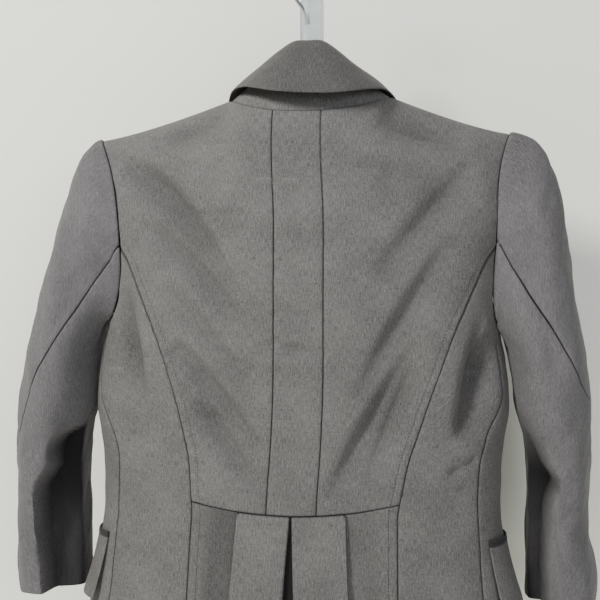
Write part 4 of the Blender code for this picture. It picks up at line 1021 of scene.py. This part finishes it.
for side, word in bothSides:
    turn = np.linspace(pocket["back"], pocket["front"], 70)
    turn = np.concatenate([turn[:1], turn[0] + np.array([0.15, 0.4, 0.8]), turn[1:-1]])
    turn = side * np.concatenate([turn, turn[-1] + np.array([0.3, 0.6, 0.9]), [pocket["front"]]])
    turn = np.sort(turn)
    angle, rise = np.meshgrid(turn, edgeShares(4, 0.03))
    z = pocket["topZ"] + rise * pocket["welt"]
    lip = onTop + pocket["lip"] * np.sin(math.pi * rise)
    layOn("welt", "pocket_welt_", word, angle, z, lip, [suiting, suiting], pocket["weltShade"])
    angle, rise = np.meshgrid(turn, edgeShares(20, 0.006))
    z = pocket["topZ"] - body["seam"] - pocket["tall"] * (1 - rise)
    stand = onTop + pocket["standOff"] * (1 - rise) ** 1.25
    curl = stand + unevenness(bodyPoint(angle, z)[..., 0] * 1.5, z, 0.0006) * (1 - rise)
    layOn("flap", "pocket_flap_", word, angle, z, curl, [suiting, lining])
    startX, endX = lapel["start"][side], body["neckX"] + side * (body["neckHalf"] - lapel["end"])
    outShare, along = np.meshgrid(edgeShares(16, 0.012), np.linspace(0, 1, 70))
    width = lapel["startWide"] + lapel["wide"] * np.sin(along**0.8 * math.pi * 0.55)
    xRoll = startX + along * (endX - startX)
    x = xRoll + side * width * outShare * 0.92
    z = frontTopZ(xRoll, side) - lapel["fold"] - width * outShare * lapel["slope"] * (1 - 0.4 * along)
    angle = angleAt(x, z, True)
    lift = lapel["lift"] + lapel["open"] * outShare
    layOn("lapel", "lapel_", word, angle, z, lift, [suiting, suiting])
print("flaps and lapels laid on")


# Topstitching: small separate stitches of thread along both sides of the back

topstitch = {
    "long": 0.0022,
    "wide": 0.00075,
    "gap": 0.0009,
    "aboveCloth": 0.00005,
    "peplumIn": 0.0085,
}


def stitchRow(route, normals):  # stitches along a fine line of points: two rings of four between two ends
    along = np.concatenate([[0], np.cumsum(np.linalg.norm(np.diff(route, axis=0), axis=1))])
    places, faces = [], []
    for start in np.arange(0.001, along[-1] - topstitch["long"], topstitch["long"] + topstitch["gap"]):
        at = start + np.array([0, 0.28, 0.72, 1]) * topstitch["long"]
        line = np.stack([np.interp(at, along, route[:, k]) for k in range(3)], -1)
        up = unit(np.stack([np.interp(at, along, normals[:, k]) for k in range(3)], -1))
        side = unit(np.cross(unit(line[3] - line[0]), up))
        half = topstitch["wide"] / 2
        first = len(places)
        places.append(line[0] - up[0] * half)
        for k in (1, 2):
            places += [line[k] + side[k] * half, line[k] + up[k] * half, line[k] - side[k] * half]
            places.append(line[k] - up[k] * half)
        places.append(line[3] - up[3] * half)
        for k in range(4):
            n = (k + 1) % 4
            faces.append((first, first + 1 + n, first + 1 + k))
            faces.append((first + 1 + k, first + 1 + n, first + 5 + n, first + 5 + k))
            faces.append((first + 5 + k, first + 5 + n, first + 9))
    return places, faces


def makeStitches(name, rows, look):
    places, faces = [], []
    for route, normals in rows:
        newPlaces, newFaces = stitchRow(route, normals)
        faces += [tuple(i + len(places) for i in face) for face in newFaces]
        places += newPlaces
    mesh = bpy.data.meshes.new(name)
    mesh.from_pydata([tuple(p) for p in places], [], faces)
    mesh.shade_smooth()
    mesh.materials.append(look)
    mesh.transform(Matrix.Translation((body["middleX"], 0, 0)))
    made = addObject(name, mesh)
    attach(made, "root")


rows = []
for side in (-1, 1):
    z = np.linspace(body["princessTopZ"] - 0.003, body["waistZ"] - 0.0012, 400)
    angle = movedIn(princessAngle(z, side), z, -side * seamLook["stitchIn"])
    normals = bodyNormal(angle, z)
    over = body["cloth"] / 2 + topstitch["aboveCloth"] - bodyRelief(angle, z)
    rows.append((bodyPoint(angle, z) + normals * over[:, None], normals))
    z = np.linspace(body["waistZ"] - 0.0025, body["hemZ"] + 0.002, 300)
    angle = movedIn(princessAngle(z, side), z, -side * topstitch["peplumIn"])
    base, normals = bodyPoint(angle, z), bodyNormal(angle, z)
    over = body["cloth"] / 2 + topstitch["aboveCloth"] + 0.0001 - unevenness(base[:, 0], z, 0.0007)
    rows.append((base + normals * over[:, None], normals))
makeStitches("backTopstitch", rows, thread)
print("topstitching sewn")


# Hanger and buttons keep their solids, with their own finishes

hardware = {"hanger_body": clearPlastic, "hanger_hook": steelWire, "button_1": horn, "button_2": horn}
for node, look in hardware.items():
    mesh = bpy.data.objects[node].data
    mesh.materials.clear()
    mesh.materials.append(look)
print("hanger and buttons finished")


# Studio

studio = {
    "wallY": 0.16,
    "wallColour": "#FAFBF2",
    "wallShade": "#F3F4EB",
    "floorZ": -1.10,
    "turn": 6.5,  # degrees, the camera's turn to the jacket's right
    "distance": 1.06,
    "cameraZ": -0.372,
    "lens": 62.8,
}


def makeBackdrop():
    # Board with matt emulsion paint, rolled on: hardly any gloss
    values = {"Roughness": 0.9, "Specular IOR Level": 0.2}
    look = makeFinish("painted board", values, (3, 3, 3), studio["wallColour"], studio["wallShade"])
    bpy.ops.mesh.primitive_plane_add(size=6, location=(0, studio["wallY"], 0), rotation=(math.pi / 2, 0, 0))
    wall = bpy.context.object
    bpy.ops.mesh.primitive_plane_add(size=6, location=(0, studio["wallY"] - 3, studio["floorZ"]))
    floor = bpy.context.object
    for made, name in ((wall, "backWall"), (floor, "floor")):
        made.name = name
        made.data.materials.append(look)


def addLight(name, place, aim, size, power, colour):
    light = bpy.data.lights.new(name, "AREA")
    light.energy = power
    light.shape = "DISK"
    light.size = size
    light.color = toLinear(colour)[:3]
    made = addObject(name, light)
    made.location = place
    made.rotation_euler = (Vector(aim) - Vector(place)).to_track_quat("-Z", "Y").to_euler()


bpy.ops.object.select_all(action="DESELECT")
makeBackdrop()
addLight("keySoftbox", (-0.95, -1.20, 0.58), (0, 0, -0.40), 0.45, 45, "#FFFDF8")
addLight("fillSoftbox", (0.9, -2.2, 0.1), (0, 0, -0.40), 1.2, 26, "#F6F8FF")

world = bpy.data.worlds.new("studioRoom")
world.use_nodes = True
sky = world.node_tree.nodes["Background"]
sky.inputs[0].default_value = toLinear("#F2F4F6")
sky.inputs[1].default_value = 0.24
bpy.context.scene.world = world

camera = bpy.data.cameras.new("camera")
camera.lens = studio["lens"]
camera.sensor_width = 36
cameraObject = addObject("camera", camera)
turn = math.radians(studio["turn"])
cameraObject.location = (
    body["middleX"] + studio["distance"] * math.sin(turn),
    -studio["distance"] * math.cos(turn),
    studio["cameraZ"],
)
cameraObject.rotation_euler = (math.pi / 2, 0, turn)
bpy.context.scene.camera = cameraObject
print("studio ready")
